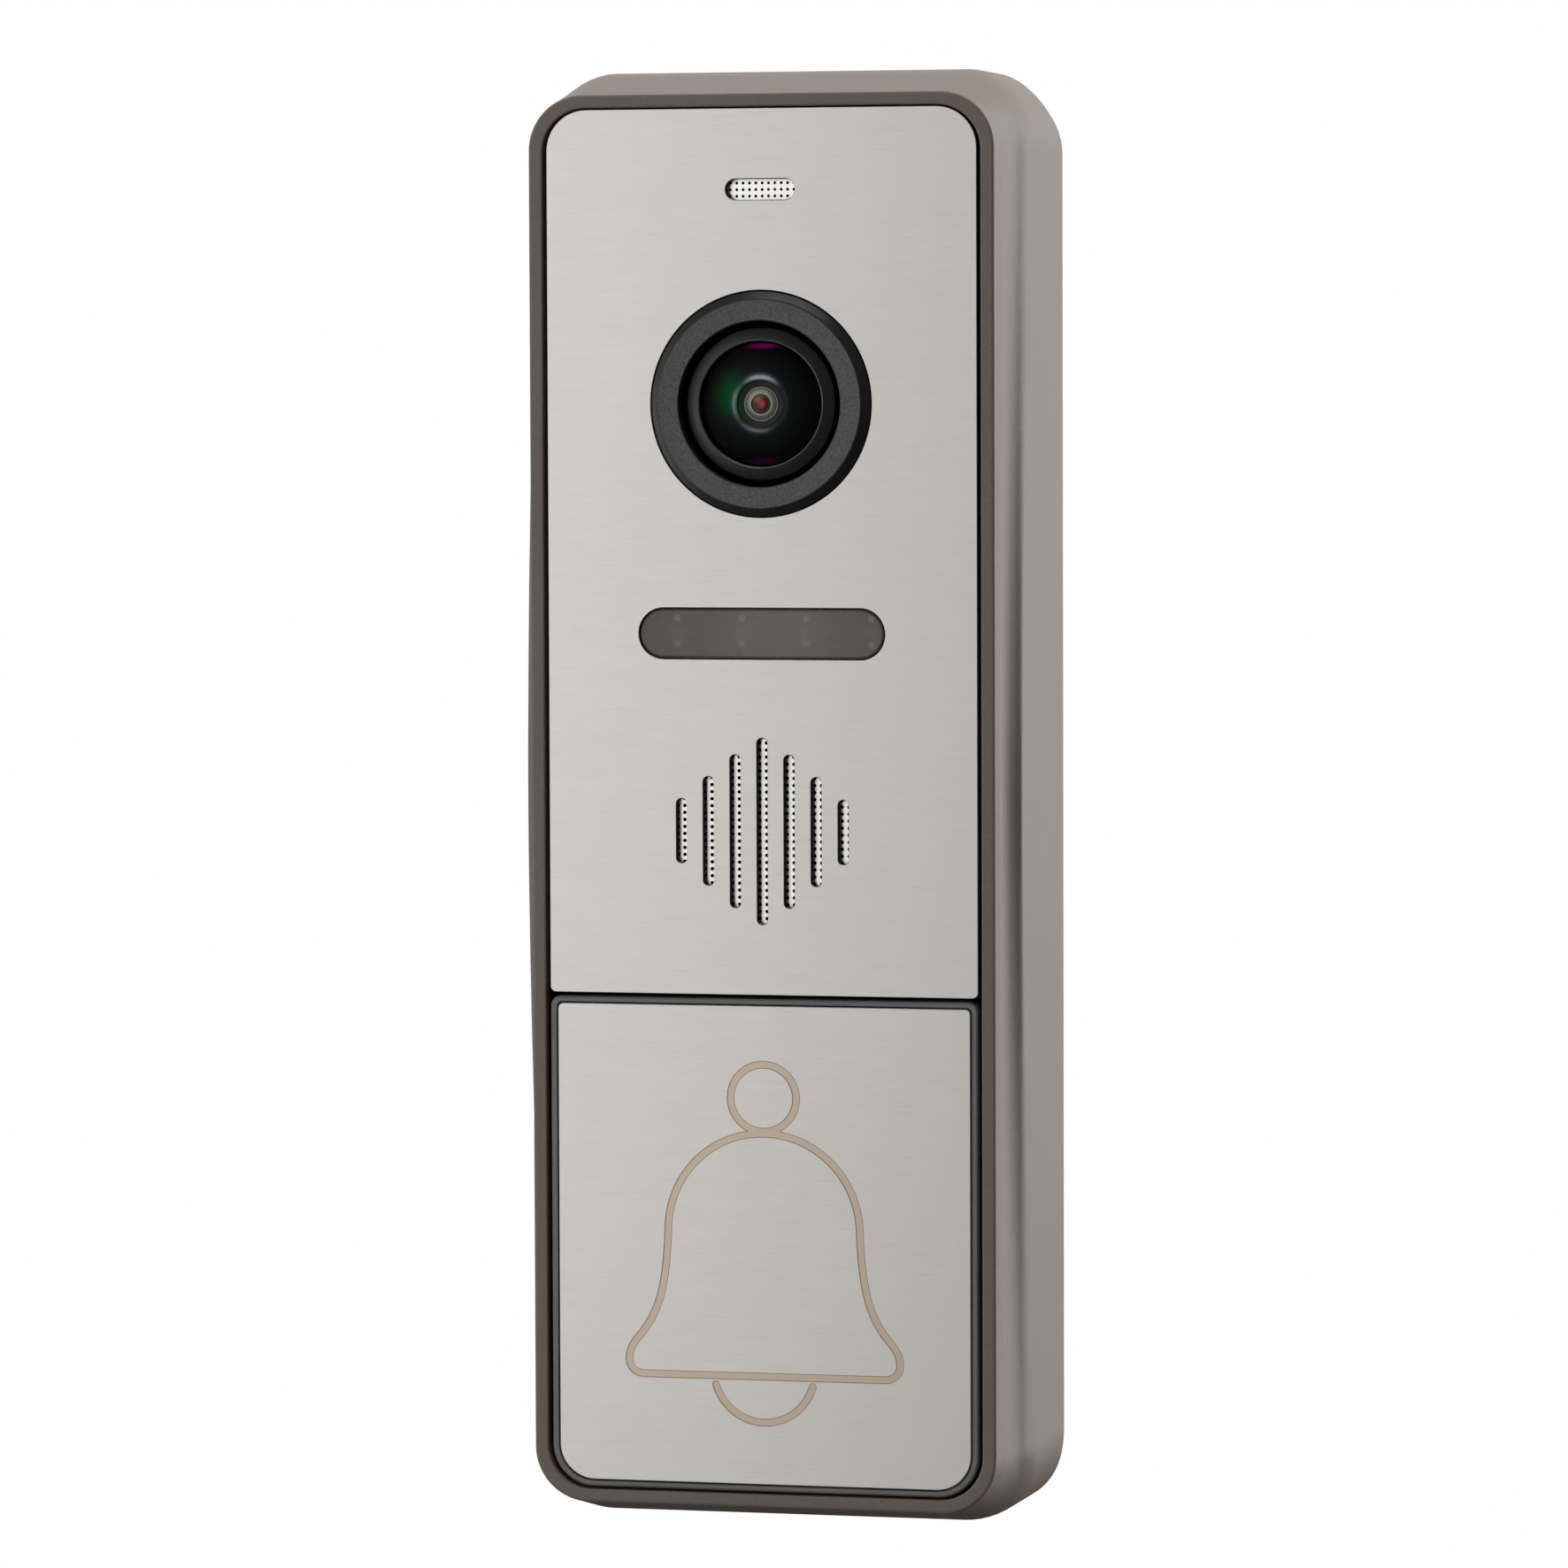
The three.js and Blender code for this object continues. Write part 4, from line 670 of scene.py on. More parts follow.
def combined(mesh, others, operation="DIFFERENCE", material=None):
    """A mesh cut by, or joined with, other meshes. New faces take the cutter's material if it has one."""
    target = placed("target", mesh)
    tools = []
    for other in others:
        step = target.modifiers.new("boolean", "BOOLEAN")
        step.operation = operation
        step.solver = "EXACT"
        if material is not None:
            other.materials.append(material)
            step.material_mode = "TRANSFER"
        step.object = placed("tool", other)
        tools.append(step.object)
    return frozen(target, *tools)


def softened_copy(node, width):
    """The mesh of a CAD node with its edges rounded, for a new piece."""
    source = placed("source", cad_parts[node].data.copy())
    source.data.materials.clear()
    source.modifiers.new("weld", "WELD").merge_threshold = 1e-6
    flat = source.modifiers.new("flat", "DECIMATE")
    flat.decimate_type = "DISSOLVE"
    flat.angle_limit = math.radians(1)
    edge = source.modifiers.new("bevel", "BEVEL")
    edge.width = width
    edge.segments = 2
    edge.limit_method = "ANGLE"
    edge.angle_limit = math.radians(30)
    edge.use_clamp_overlap = True
    return frozen(source)


# ---------------------------------------------------------------- case

# The rim around the front, and how far the outer skin flares out behind it.
RIM_WIDTH = 1.27 * MM
RIM_RADIUS = 4.9 * MM
RIM_ROUND = 0.28 * MM
SIDE_OUT = 1.75 * MM
END_OUT = 2.35 * MM
RIM_HALF_WIDTH = CASE.half_width - SIDE_OUT
RIM_HALF_HEIGHT = CASE.half_height - END_OUT
OPENING_HALF_WIDTH = RIM_HALF_WIDTH - RIM_WIDTH
OPENING_HALF_HEIGHT = RIM_HALF_HEIGHT - RIM_WIDTH

# The crease of the sides runs in a bow: deeper and rounder towards the ends of the case.
CREASE_OUT = 1.55 * MM
CREASE_DEPTH_MIDDLE, CREASE_DEPTH_ENDS, END_DEPTH = 4.3 * MM, 9.2 * MM, 10.9 * MM
CREASE_ROUND_MIDDLE, CREASE_ROUND_ENDS, END_ROUND = 0.30 * MM, 2.0 * MM, 2.6 * MM
STEEP_MIDDLE, STEEP_ENDS = math.radians(56), math.radians(28)  # how far the cove has turned at the crease
BOW_POWER = 1.8
TOP_CORNERS_IN = 0.38 * MM
BOTTOM_CORNERS_OUT = 0.30 * MM
FOOT_ROUND = 0.3 * MM


def cove_points(start, crease, steep, flat, steps=22):
    """Straight back from the rim and then round an arc to the crease, or a straight slope where flat is 1."""
    radius = (crease.x - start.x) / (1 - math.cos(steep))
    arc_start = max(start.y, crease.y - radius * math.sin(steep))
    points = [start.copy()]
    for k in range(steps):
        angle = steep * (k + 1) / steps
        turned_share = math.sin(angle) / math.sin(steep)
        along = Vector((radius * (1 - math.cos(angle)), mix(arc_start, crease.y, turned_share)))
        points.append(along.lerp(start.lerp(crease, (k + 1) / steps), flat))
    return points


def case_section(place, normal):
    """The outer skin behind the rim at one point of the outline, as (outward, depth) points.
    The sides have a cove that ends in a crease, and the ends slope straight out."""
    end = smoothstep(abs(normal.y))
    bowed = min(1.0, abs(place.y) / RIM_HALF_HEIGHT) ** BOW_POWER
    flare = normal.y**2
    corner = 4 * (normal.x * normal.y) ** 2
    depth = mix(mix(CREASE_DEPTH_MIDDLE, CREASE_DEPTH_ENDS, bowed), END_DEPTH, end)
    out, back = mix(CREASE_OUT, END_OUT, flare), mix(SIDE_OUT, END_OUT, flare)
    if place.y > 0:
        out -= TOP_CORNERS_IN * corner
        back -= TOP_CORNERS_IN * corner
    else:
        back += BOTTOM_CORNERS_OUT * corner
    crease, wall = Vector((out, depth)), Vector((back, CASE.back - CASE.front))
    cove = cove_points(Vector((0, RIM_ROUND)), crease, mix(STEEP_MIDDLE, STEEP_ENDS, math.sqrt(bowed)), end)
    reach = mix(mix(CREASE_ROUND_MIDDLE, CREASE_ROUND_ENDS, bowed), END_ROUND, end)
    kept = [p for p in cove if (p - crease).length > reach]
    onward = crease + (wall - crease).normalized() * reach
    turn = curve_points(kept[-1], crease, onward, 5 + len(cove) - len(kept))[1:]
    rim = [Vector((x * RIM_ROUND, y * RIM_ROUND)) for x, y in ((-1, 0), (-0.55, 0.06), (-0.16, 0.38))]
    foot = [wall - Vector((x * FOOT_ROUND, y * FOOT_ROUND)) for x, y in ((0, 1), (1 / 3, 1 / 3), (1, 0))]
    return rim + kept + turn + foot


def housing_mesh():
    """The cast shell: opening, rim and outer skin, then the rebate for the rear cover and the ledge inside it."""
    steps = dict(arc=18, sides=96, ends=30)
    rim = centred(RIM_HALF_WIDTH, RIM_HALF_HEIGHT, RIM_RADIUS, **steps)
    opening = centred(OPENING_HALF_WIDTH, OPENING_HALF_HEIGHT + 0.08 * MM, 3.95 * MM, **steps)
    rebate = centred(21 * MM, 63.1 * MM, 5.6 * MM, **steps)
    ledge = centred(18.9 * MM, 59.6 * MM, 4 * MM, **steps)
    ledge_front, ledge_back = -8.2 * MM, -5.7 * MM
    lip = 0.16 * MM
    front, back = CASE.front, CASE.back
    rings = [
        ring_at(opening, ledge_front),
        ring_at(opening, front + lip),
        ring_at(opening, front + 0.3 * lip, 0.3 * lip),
        ring_at(opening, front, lip),
    ]
    sections = [case_section(p, n) for p, n in rim]
    for row in zip(*sections):
        rings.append([(p.x + n.x * at.x, front + at.y, p.y + n.y * at.x) for (p, n), at in zip(rim, row)])
    rings += [ring_at(rebate, back, lip), ring_at(rebate, back - lip)]
    rings += [ring_at(rebate, ledge_back), ring_at(ledge, ledge_back), ring_at(ledge, ledge_front)]
    return loft(rings, closed=True)


def build_case():
    """The shell with its screw bosses, screw holes, and the openings for the bracket's lip and screw."""
    reach, into_wall = 2.7 * MM, 0.5 * MM
    halves = OPENING_HALF_WIDTH, OPENING_HALF_HEIGHT
    bosses = []
    for screw in CASE_SCREWS:
        xs, zs = (
            sorted((math.copysign(abs(at) - reach, at), math.copysign(half + into_wall, at)))
            for at, half in zip(screw, halves)
        )
        bosses.append(block(*xs, -13.5 * MM, -6.0 * MM, *zs))
    mesh = combined(housing_mesh(), bosses, "UNION")
    lock_x, lock_y = LOCK.middle[0], (LOCK.front + LOCK.back) / 2
    cuts = [rod_mesh(x, z, 1.5 * MM, -14 * MM, 0.5 * MM) for x, z in CASE_SCREWS]
    cuts.append(block(-6.4 * MM, 6.4 * MM, -5.4 * MM, -3.2 * MM, 62.8 * MM, 64.2 * MM))
    for radius, depth in ((1.4 * MM, 3 * MM), (2.25 * MM, 1.2 * MM)):
        cuts.append(upright_rod(lock_x, lock_y, radius, CASE.bottom - MM, CASE.bottom + depth))
    finish_piece("case_shell", combined(mesh, cuts), [PAINT], ["housing"], 40)


build_case()

# ---------------------------------------------------------------- front plate

SLOT_HALF_WIDTH = 0.47 * MM
SLOT_PITCH = 2.448 * MM
SLOT_HEIGHTS = [16.5 * MM, 13.55 * MM, 9.65 * MM, 5.7 * MM]  # from the middle slot outwards


def build_front_plate():
    """The steel sheet with its openings, whose cut edges are darker."""
    edge = outline(PLATE.left, PLATE.right, PLATE.bottom, PLATE.top, 3.65 * MM, 0.55 * MM, arc=16)
    speaker_z = SPEAKER_MESH.middle[1]
    places = range(1 - len(SLOT_HEIGHTS), len(SLOT_HEIGHTS))
    holes = [pill(k * SLOT_PITCH, speaker_z, SLOT_HALF_WIDTH, SLOT_HEIGHTS[abs(k)] / 2) for k in places]
    holes += [
        pill(0, MIC_MESH.middle[1], 3.12 * MM, 0.92 * MM, 14),
        pill(0, LAMP_WINDOW.middle[1], 11.15 * MM, 2.26 * MM, 20),
        round_hole(0, CAMERA_Z, 9.98 * MM, 128),
    ]
    mesh = sheet_with_holes(loop_of(edge), holes, PLATE.front, PLATE.back, 0.07 * MM)
    mesh.materials.append(STEEL)
    mesh.materials.append(CUT_EDGE)
    inside = 1.0 * MM
    for face in mesh.polygons:
        x, _, z = face.center
        within = abs(x) < PLATE.right - inside and PLATE.bottom + inside < z < PLATE.top - inside
        if abs(face.normal.y) < 0.3 and within:
            face.material_index = 1
    finish_piece("steel_front", mesh, [STEEL, CUT_EDGE], ["front_plate"], 50)


build_front_plate()


def perforated_sheet(box, pitch, hole_radius, shift_x=0.0, shift_z=0.0, sides=12):
    """A rectangle of sheet metal, made of square cells that each have one round hole."""
    columns, rows = (int(2 * half / pitch) - 1 for half in (box.half_width, box.half_height))
    spokes = circle(sides, 0.5)
    reach = [0.5 * pitch / max(abs(c), abs(s)) for c, s in spokes]
    pairs = [(i, (i + 1) % sides) for i in range(sides)]
    bm = bmesh.new()
    for column in range(columns):
        for row in range(rows):
            x = box.middle[0] + (column - (columns - 1) / 2) * pitch + shift_x
            z = box.middle[1] + (row - (rows - 1) / 2) * pitch + shift_z
            front_edge, front_hole, back_edge, back_hole = (
                [bm.verts.new((x + out * c, y, z + out * s)) for (c, s), out in zip(spokes, outs)]
                for y in (box.front, box.back)
                for outs in (reach, [hole_radius] * sides)
            )
            for i, j in pairs:
                bm.faces.new((front_edge[i], front_edge[j], front_hole[j], front_hole[i]))
                bm.faces.new((back_hole[i], back_hole[j], back_edge[j], back_edge[i]))
                bm.faces.new((front_hole[i], front_hole[j], back_hole[j], back_hole[i]))
            ends = ((column == 0, 0, -1), (column == columns - 1, 0, 1), (row == 0, 2, -1), (row == rows - 1, 2, 1))
            outer = [(axis, side) for at_end, axis, side in ends if at_end]
            for i, j in pairs:
                corners = [front_edge[k].co - Vector((x, 0, z)) for k in (i, j)]
                if any(all(side * p[axis] > 0.49 * pitch for p in corners) for axis, side in outer):
                    bm.faces.new((front_edge[j], front_edge[i], back_edge[i], back_edge[j]))
    return mesh_of(bm)


def build_grilles():
    """The perforated sheets behind the speaker slots and the microphone slot."""
    speaker = perforated_sheet(SPEAKER_MESH, 0.622 * MM, 0.17 * MM, -0.107 * MM, -0.29 * MM)
    mic = perforated_sheet(MIC_MESH, 0.575 * MM, 0.14 * MM)
    for name, mesh in (("speaker", speaker), ("mic", mic)):
        finish_piece(f"{name}_grille", mesh, [MESH_STEEL], [f"{name}_mesh"], 50)


build_grilles()

# ---------------------------------------------------------------- camera

LENS_EDGE = -22.05 * MM  # where the dome meets the lens ring
GLASS_RADIUS = Edges("front_lens").half_width
DOME_RADIUS = 12.3 * MM


def build_bezel():
    """The grained ring: a matt face, a smooth outer slope and a stepped opening."""
    face, back = BEZEL.front, BEZEL.back
    opening, step, foot, flange = 7.29 * MM, 7.64 * MM, 9.90 * MM, 11.2 * MM
    flange_front = back - 0.8 * MM
    corners = [
        (opening, face + 0.10 * MM),
        (9.23 * MM, face),
        (foot, PLATE.front - 0.02 * MM),
        (foot, flange_front),
        (flange, flange_front),
        (flange, back),
        (step, back),
        (step, face + 1.4 * MM),
        (opening, face + 1.4 * MM),
    ]
    steps = 4
    profile = softened(corners, 0.12 * MM, steps)
    tags = [1] * len(profile)
    tags[steps] = 0  # the stretch between the first two corners
    mesh = turned(profile, 0, CAMERA_Z, 160, tags)
    materials = [GRAINED_BLACK, SMOOTH_BLACK]
    finish_piece("grained_ring", mesh, materials, ["camera_bezel"], 30)


build_bezel()


def build_barrel():
    """The lens barrel: a black anodised head around the glass, a threaded body and a stepped bore."""
    ring = BARREL.half_width
    seat = GLASS_RADIUS + 0.06 * MM
    body = 6 * MM
    head = softened([
        (seat, LENS_EDGE + 0.10 * MM),
        (seat + 0.10 * MM, LENS_EDGE - 0.02 * MM),
        (ring - 0.04 * MM, LENS_EDGE + 0.42 * MM),
        (ring, LENS_EDGE + 0.50 * MM),
        (ring, -17.2 * MM),
        (body, -17.2 * MM),
    ], 0.07 * MM, 3, closed=False)
    pitch, crest = 0.5 * MM, 0.14 * MM
    thread = []
    y = -16.6 * MM
    while y < -11.2 * MM:
        thread += [(body, y), (body - crest, y + pitch / 2)]
        y += pitch
    bore = [(5.85 * MM, BARREL.back), (2.6 * MM, BARREL.back)]
    bore += in_mm([(2.6, -18.25), (2.75, -18.4), (3.95, -19.7)]) + [(seat, -19.7 * MM)]
    polished = 3
    outside = len(head) + len(thread) + 1
    tags = [2] * polished + [0] * (outside - polished) + [1] * (len(bore) - 1)
    mesh = turned(head + thread + bore, 0, CAMERA_Z, 128, tags)
    materials = [ANODISED, BLACKENED, POLISHED_EDGE]
    finish_piece("lens_tube", mesh, materials, ["lens_barrel"], 30)


build_barrel()


def build_glass():
    """The front element is a thin wide dome. Two small elements sit in the bore."""
    edge_angle = math.asin(GLASS_RADIUS / DOME_RADIUS)
    dome_centre = LENS_EDGE + DOME_RADIUS * math.cos(edge_angle)
    dome = bow(DOME_RADIUS, dome_centre, 0, edge_angle, 28)
    thickness, wall, back = 0.5 * MM, 0.12 * MM, -20.1 * MM
    inner_radius = DOME_RADIUS - thickness
    hollow = bow(inner_radius, dome_centre, math.asin((GLASS_RADIUS - wall) / inner_radius), 0, 28)
    rim = [(GLASS_RADIUS, LENS_EDGE + 0.06 * MM), (GLASS_RADIUS, back), (GLASS_RADIUS - wall, back)]
    profile = [(0, dome[0][1]), *dome[1:], *rim, *hollow[:-1], (0, hollow[-1][1])]
    finish_piece("front_element", turned(profile, 0, CAMERA_Z, 128), [FRONT_GLASS], ["front_lens"], 25)
    elements = (("second_element", "inner_lens", INNER_GLASS), ("rear_element", "rear_lens", REAR_GLASS))
    for name, node, material in elements:
        box = Edges(node)
        sphere = cap_radius(box.half_width, 0.5 * MM)
        front = bow(sphere, box.front + sphere, 0, math.asin(box.half_width / sphere), 14)
        rear = [(r, box.front + box.back - y) for r, y in reversed(front)]
        profile = [(0, front[0][1]), *front[1:], *rear[:-1], (0, rear[-1][1])]
        finish_piece(name, turned(profile, 0, CAMERA_Z, 64), [material], [node], 25)


build_glass()


def build_lens_group():
    """The dark stepped cup under the dome, with a pale spacer and the innermost element at its bottom."""
    coating = [(5.34, -21.34), (4.5, -21.60), (3.8, -21.76), (3.1, -21.90), (2.5, -22.02)]
    coating += [(2.28, -22.06), (2.12, -22.06)]
    bore = [(2.04, -21.98), (1.98, -21.84), (1.80, -21.82), (1.76, -21.74), (1.60, -21.72), (1.57, -21.66)]
    spacer = [(1.50, -21.67), (1.45, -21.66), (1.25, -21.69), (1.02, -21.69), (0.97, -21.73), (0.90, -21.73)]
    back = [(0.88, -21.30), (0.88, -20.30), (5.34, -20.30)]
    tags = [0] * (len(coating) - 1) + [1] * (len(bore) + 1) + [3, 2, 2, 3, 3] + [1] * 4
    mesh = turned(in_mm(coating + bore + spacer + back), 0, CAMERA_Z, 96, tags)
    materials = [COATING_AND_PAINTED_REFLECTIONS, BORE_COATING_AND_PAINTED_REFLECTION, SPACER, SPACER_EDGE]
    finish_piece("lens_group", mesh, materials, (), 40)
    radius, bulge, front, rear = 0.87 * MM, 0.12 * MM, -21.56 * MM, -20.5 * MM
    sphere = cap_radius(radius, bulge)
    cap = bow(sphere, front - bulge + sphere, 0, math.asin(radius / sphere), 10)
    profile = [(0, cap[0][1]), *cap[1:], (radius, rear), (0, rear)]
    finish_piece("lens_centre", turned(profile, 0, CAMERA_Z, 64), [LENS_CENTRE], (), 40)


build_lens_group()

# ---------------------------------------------------------------- lamp window


def build_window():
    """The smoked pane, which stands in the plate's opening with a flange behind it."""
    z = LAMP_WINDOW.middle[1]
    front, back, shoulder = LAMP_WINDOW.front, LAMP_WINDOW.back, -20.7 * MM
    pane = (11.08 * MM, 2.20 * MM)
    flange = (LAMP_WINDOW.half_width, LAMP_WINDOW.half_height)
    rounding = in_mm([(0, -0.22), (0.03, -0.10), (0.10, -0.02), (0.22, 0)])
    levels = [(front + depth, pane[0] + inset, pane[1] + inset) for depth, inset in rounding]
    levels += [(shoulder, *pane), (shoulder, *flange), (back, *flange)]
    rings = [[(x, y, zz) for x, zz in pill(0, z, wide, high, 20)] for y, wide, high in levels]
    finish_piece("smoked_pane", loft(rings), [WINDOW], ["lamp_window"], 40)


build_window()

# ---------------------------------------------------------------- call button


def stroke_mesh(path, width, closed, front, back):
    """A line of the given width along a path in X and Z, as a solid. An open one has round ends."""
    points = [Vector(p) for p in path]
    left, right = [], []
    for i, point in enumerate(points):
        before = points[i - 1] if closed or i else point
        after = points[(i + 1) % len(points)] if closed or i + 1 < len(points) else point
        along = (after - before).normalized()
        across = Vector((-along.y, along.x)) * width / 2
        left.append(point + across)
        right.append(point - across)
    if closed:
        corners = ((left, front), (right, front), (right, back), (left, back))
        return loft([[(p.x, y, p.y) for p in side] for side, y in corners], closed=True)
    cap_steps = 8
    loop = []
    for side, centre in ((left, points[-1]), (right[::-1], points[0])):
        arm = side[-1] - centre
        loop += side
        loop += [centre + Matrix.Rotation(-math.pi * k / cap_steps, 2) @ arm for k in range(1, cap_steps)]
    return prism([tuple(p) for p in loop], front, back)


def bezier(p0, p1, p2, p3, steps):
    points = []
    for i in range(steps + 1):
        t = i / steps
        a, b, c, d = (1 - t) ** 3, 3 * t * (1 - t) ** 2, 3 * t * t * (1 - t), t**3
        points.append(tuple(a * u + b * v + c * w + d * q for u, v, w, q in zip(p0, p1, p2, p3)))
    return points


def bell_paths():
    """The three lines of the bell, its ring, its body and its clapper, worked out in millimetres."""
    ring = round_hole(0, -26.06, 2.98, 72)
    dome_radius, dome_centre, bar = 8.72, -37.92, -50.85
    dome_angles = [math.pi * i / 48 for i in range(1, 48)]
    dome = [(dome_radius * math.cos(a), dome_centre + dome_radius * math.sin(a)) for a in dome_angles]
    hip = (11.62, -47.75)
    side = bezier((dome_radius, dome_centre), (8.95, -43.6), (9.75, -45.6), hip, 18)
    foot = bezier(hip, (12.75, -49.05), (12.6, bar), (10.9, bar), 12)
    right = side + foot[1:]
    body = right + [(-x, z) for x, z in reversed(right)] + dome[::-1]
    half, drop, top = 4.4, 3.3, -51.65
    radius = cap_radius(half, drop)
    reach = math.asin(half / radius)
    clapper = bow(radius, top - drop + radius, -reach, reach, 28)
    return [in_mm(path) for path in (ring, body, clapper)]


def build_button_plate():
    """The button's steel face, with the bell as a narrow groove inside a wider and shallower one."""
    edge = outline(BUTTON.left, BUTTON.right, BUTTON.bottom, BUTTON.top, 0.5 * MM, 3.2 * MM, arc=16)
    mesh = sheet_with_holes(loop_of(edge), [], BUTTON.front, BUTTON.back, 0.10 * MM)
    mesh.materials.append(STEEL)
    front = BUTTON.front - 0.1 * MM
    lines = list(zip(bell_paths(), (True, True, False)))
    for width, depth, material in ((0.70 * MM, 0.03 * MM, SCORCHED), (0.55 * MM, 0.045 * MM, ENGRAVED)):
        tools = [stroke_mesh(path, width, closed, front, BUTTON.front + depth) for path, closed in lines]
        mesh = combined(mesh, tools, "DIFFERENCE", material)
    materials = [STEEL, SCORCHED, ENGRAVED]
    finish_piece("bell_plate", mesh, materials, ["button_plate"], 50, "call_button")


build_button_plate()


def build_carrier():
    """The dark moulding that holds the button plate: a raised band around it, and a skirt, rods and hooks."""

    def inset(side, end, top_radius, bottom_radius):
        left, right = CARRIER.left + side, CARRIER.right - side
        bottom, top = CARRIER.bottom + end, CARRIER.top - end
        return outline(left, right, bottom, top, top_radius, bottom_radius, arc=14, sides=4, ends=4)

    outer = inset(0, 0, 0.9 * MM, 3.75 * MM)
    recess = inset(0.62 * MM, 0.56 * MM, 0.45 * MM, 3.2 * MM)
    hollow = inset(1.25 * MM, 1.25 * MM, 0.5 * MM, 2.5 * MM)
    front = CARRIER.front
    floor_front, floor_back, skirt_end = -20.7 * MM, -19.4 * MM, -16.4 * MM
    edge = 0.2 * MM
    rings = [
        ring_at(recess, floor_front),
        ring_at(recess, front + 0.1 * MM),
        ring_at(recess, front, 0.08 * MM),
        ring_at(outer, front, -edge),
        ring_at(outer, front + 0.3 * edge, -0.3 * edge),
        ring_at(outer, front + edge),
        ring_at(outer, front + 0.75 * MM),
        ring_at(outer, front + 0.80 * MM, -0.08 * MM),
        ring_at(outer, front + 0.95 * MM, -0.08 * MM),
        ring_at(outer, front + 1.0 * MM),
        ring_at(outer, skirt_end - 0.1 * MM),
        ring_at(outer, skirt_end, -0.1 * MM),
        ring_at(hollow, skirt_end),
        ring_at(hollow, floor_back),
    ]
    rooted = floor_back - 0.5 * MM
    middle_z = CARRIER.middle[1]
    parts = [rod_mesh(0, middle_z, 1.8 * MM, rooted, -14.3 * MM)]
    for x in (-11 * MM, 11 * MM):
        parts.append(rod_mesh(x, middle_z, 1.6 * MM, rooted, -17.4 * MM))
    hook_end, barb_front, half, leg, tip = -12.6 * MM, -13.5 * MM, 1.4 * MM, 0.55 * MM, 1.5 * MM
    for x in (-8 * MM, 8 * MM):
        for z, side in ((CARRIER.top - 4.5 * MM, 1), (CARRIER.bottom + 4.5 * MM, -1)):
            barb = sorted((z - leg * side, z + tip * side))
            parts.append(block(x - half, x + half, rooted, hook_end, z - leg, z + leg))
            parts.append(block(x - half, x + half, barb_front, hook_end, *barb))
    mesh = combined(loft(rings), parts, "UNION")
    finish_piece("button_moulding", mesh, [CARRIER_PLASTIC], ["button_carrier"], 40, "call_button")


build_carrier()


def build_springs():
    """Return springs with closed ends, built at their rest length. The real ones shorten as the button is pressed;
    these keep their shape.
    """
    wire, turns, count = 0.27 * MM, 5, 141
    lead, even_rise = 0.06, 0.75  # the share of the wire in each closed end, and of the rise that is steady
    for side in ("left", "right"):
        name, node = f"return_spring_{side}", f"button_spring_{side}"
        box = Edges(node)
        x, z = box.middle
        radius = box.half_width - wire
        start, length = box.front + wire, box.back - box.front - 2 * wire
        path = []
        for i in range(count):
            share = i / (count - 1)
            free = (share - lead) / (1 - 2 * lead)
            rise = smoothstep(free) * (1 - even_rise) + even_rise * max(0.0, min(1.0, free))
            angle = 2 * math.pi * turns * share
            path.append((x + radius * math.cos(angle), start + length * rise, z + radius * math.sin(angle)))
        curve = poly_curve(name, "3D", [path], False)
        curve.bevel_depth = wire
        curve.bevel_resolution = 3
        curve.use_fill_caps = True
        piece = finish_piece(name, frozen(placed(name, curve)), [SPRING_STEEL], [node], 60)
        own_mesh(piece)


build_springs()

# ---------------------------------------------------------------- back


def screw_mesh(x, z, shank, head, tip, head_front, head_back):
    """A cross-recessed pan-head screw along Y with a real helical thread."""
    pitch, depth, sides = 0.45 * MM, 0.09 * MM, 36
    rows = max(8, int((head_front - tip) / (pitch / 8)))
    rings = []
    for row in range(rows + 1):
        y = tip + (head_front - tip) * row / rows
        taper = 0.7 + 0.3 * min(1.0, (y - tip) / (0.8 * MM) + 0.25)
        ring = []
        for i, (c, s) in enumerate(circle(sides)):
            phase = (y / pitch - i / sides) % 1.0
            radius = (shank - depth * 2 * abs(phase - 0.5)) * taper
            ring.append((x + radius * c, y, z + radius * s))
        rings.append(ring)
    for share, up in ((1.0, 0), (1.0, 0.45), (0.93, 0.78), (0.75, 0.95), (0.45, 1), (0.2, 1)):
        y = mix(head_front, head_back, up)
        rings.append([(x + head * share * c, y, z + head * share * s) for c, s in circle(sides)])
    arm, half, floor = head * 0.56, head * 0.12, mix(head_front, head_back, 0.35)
    above = head_back + 0.3 * MM
    cross = [block(x - w, x + w, floor, above, z - h, z + h) for w, h in ((arm, half), (half, arm))]
    return combined(loft(rings), cross)


def build_screws():
    """The case screws and board screws along Y, and the upright locking screw at the bottom."""
    head_thickness = 1.1 * MM
    for i in range(1, 5):
        for kind, shank in (("case_screw", 1.05 * MM), ("board_screw", 0.8 * MM)):
            node = f"{kind}_{i}"
            box = Edges(node)
            mesh = screw_mesh(*box.middle, shank, box.half_width, box.front, box.back - head_thickness, box.back)
            finish_piece(f"{kind}_turned_{i}", mesh, [ZINC], [node])
    mesh = screw_mesh(0, 0, 1.0 * MM, LOCK.half_width, LOCK.bottom - LOCK.top, -0.9 * MM, 0)
    place = (LOCK.middle[0], (LOCK.front + LOCK.back) / 2, LOCK.bottom)
    mesh.transform(Matrix.Translation(place) @ Matrix.Rotation(-math.pi / 2, 4, "X"))
    finish_piece("locking_screw_turned", mesh, [ZINC], ["locking_screw"])


build_screws()


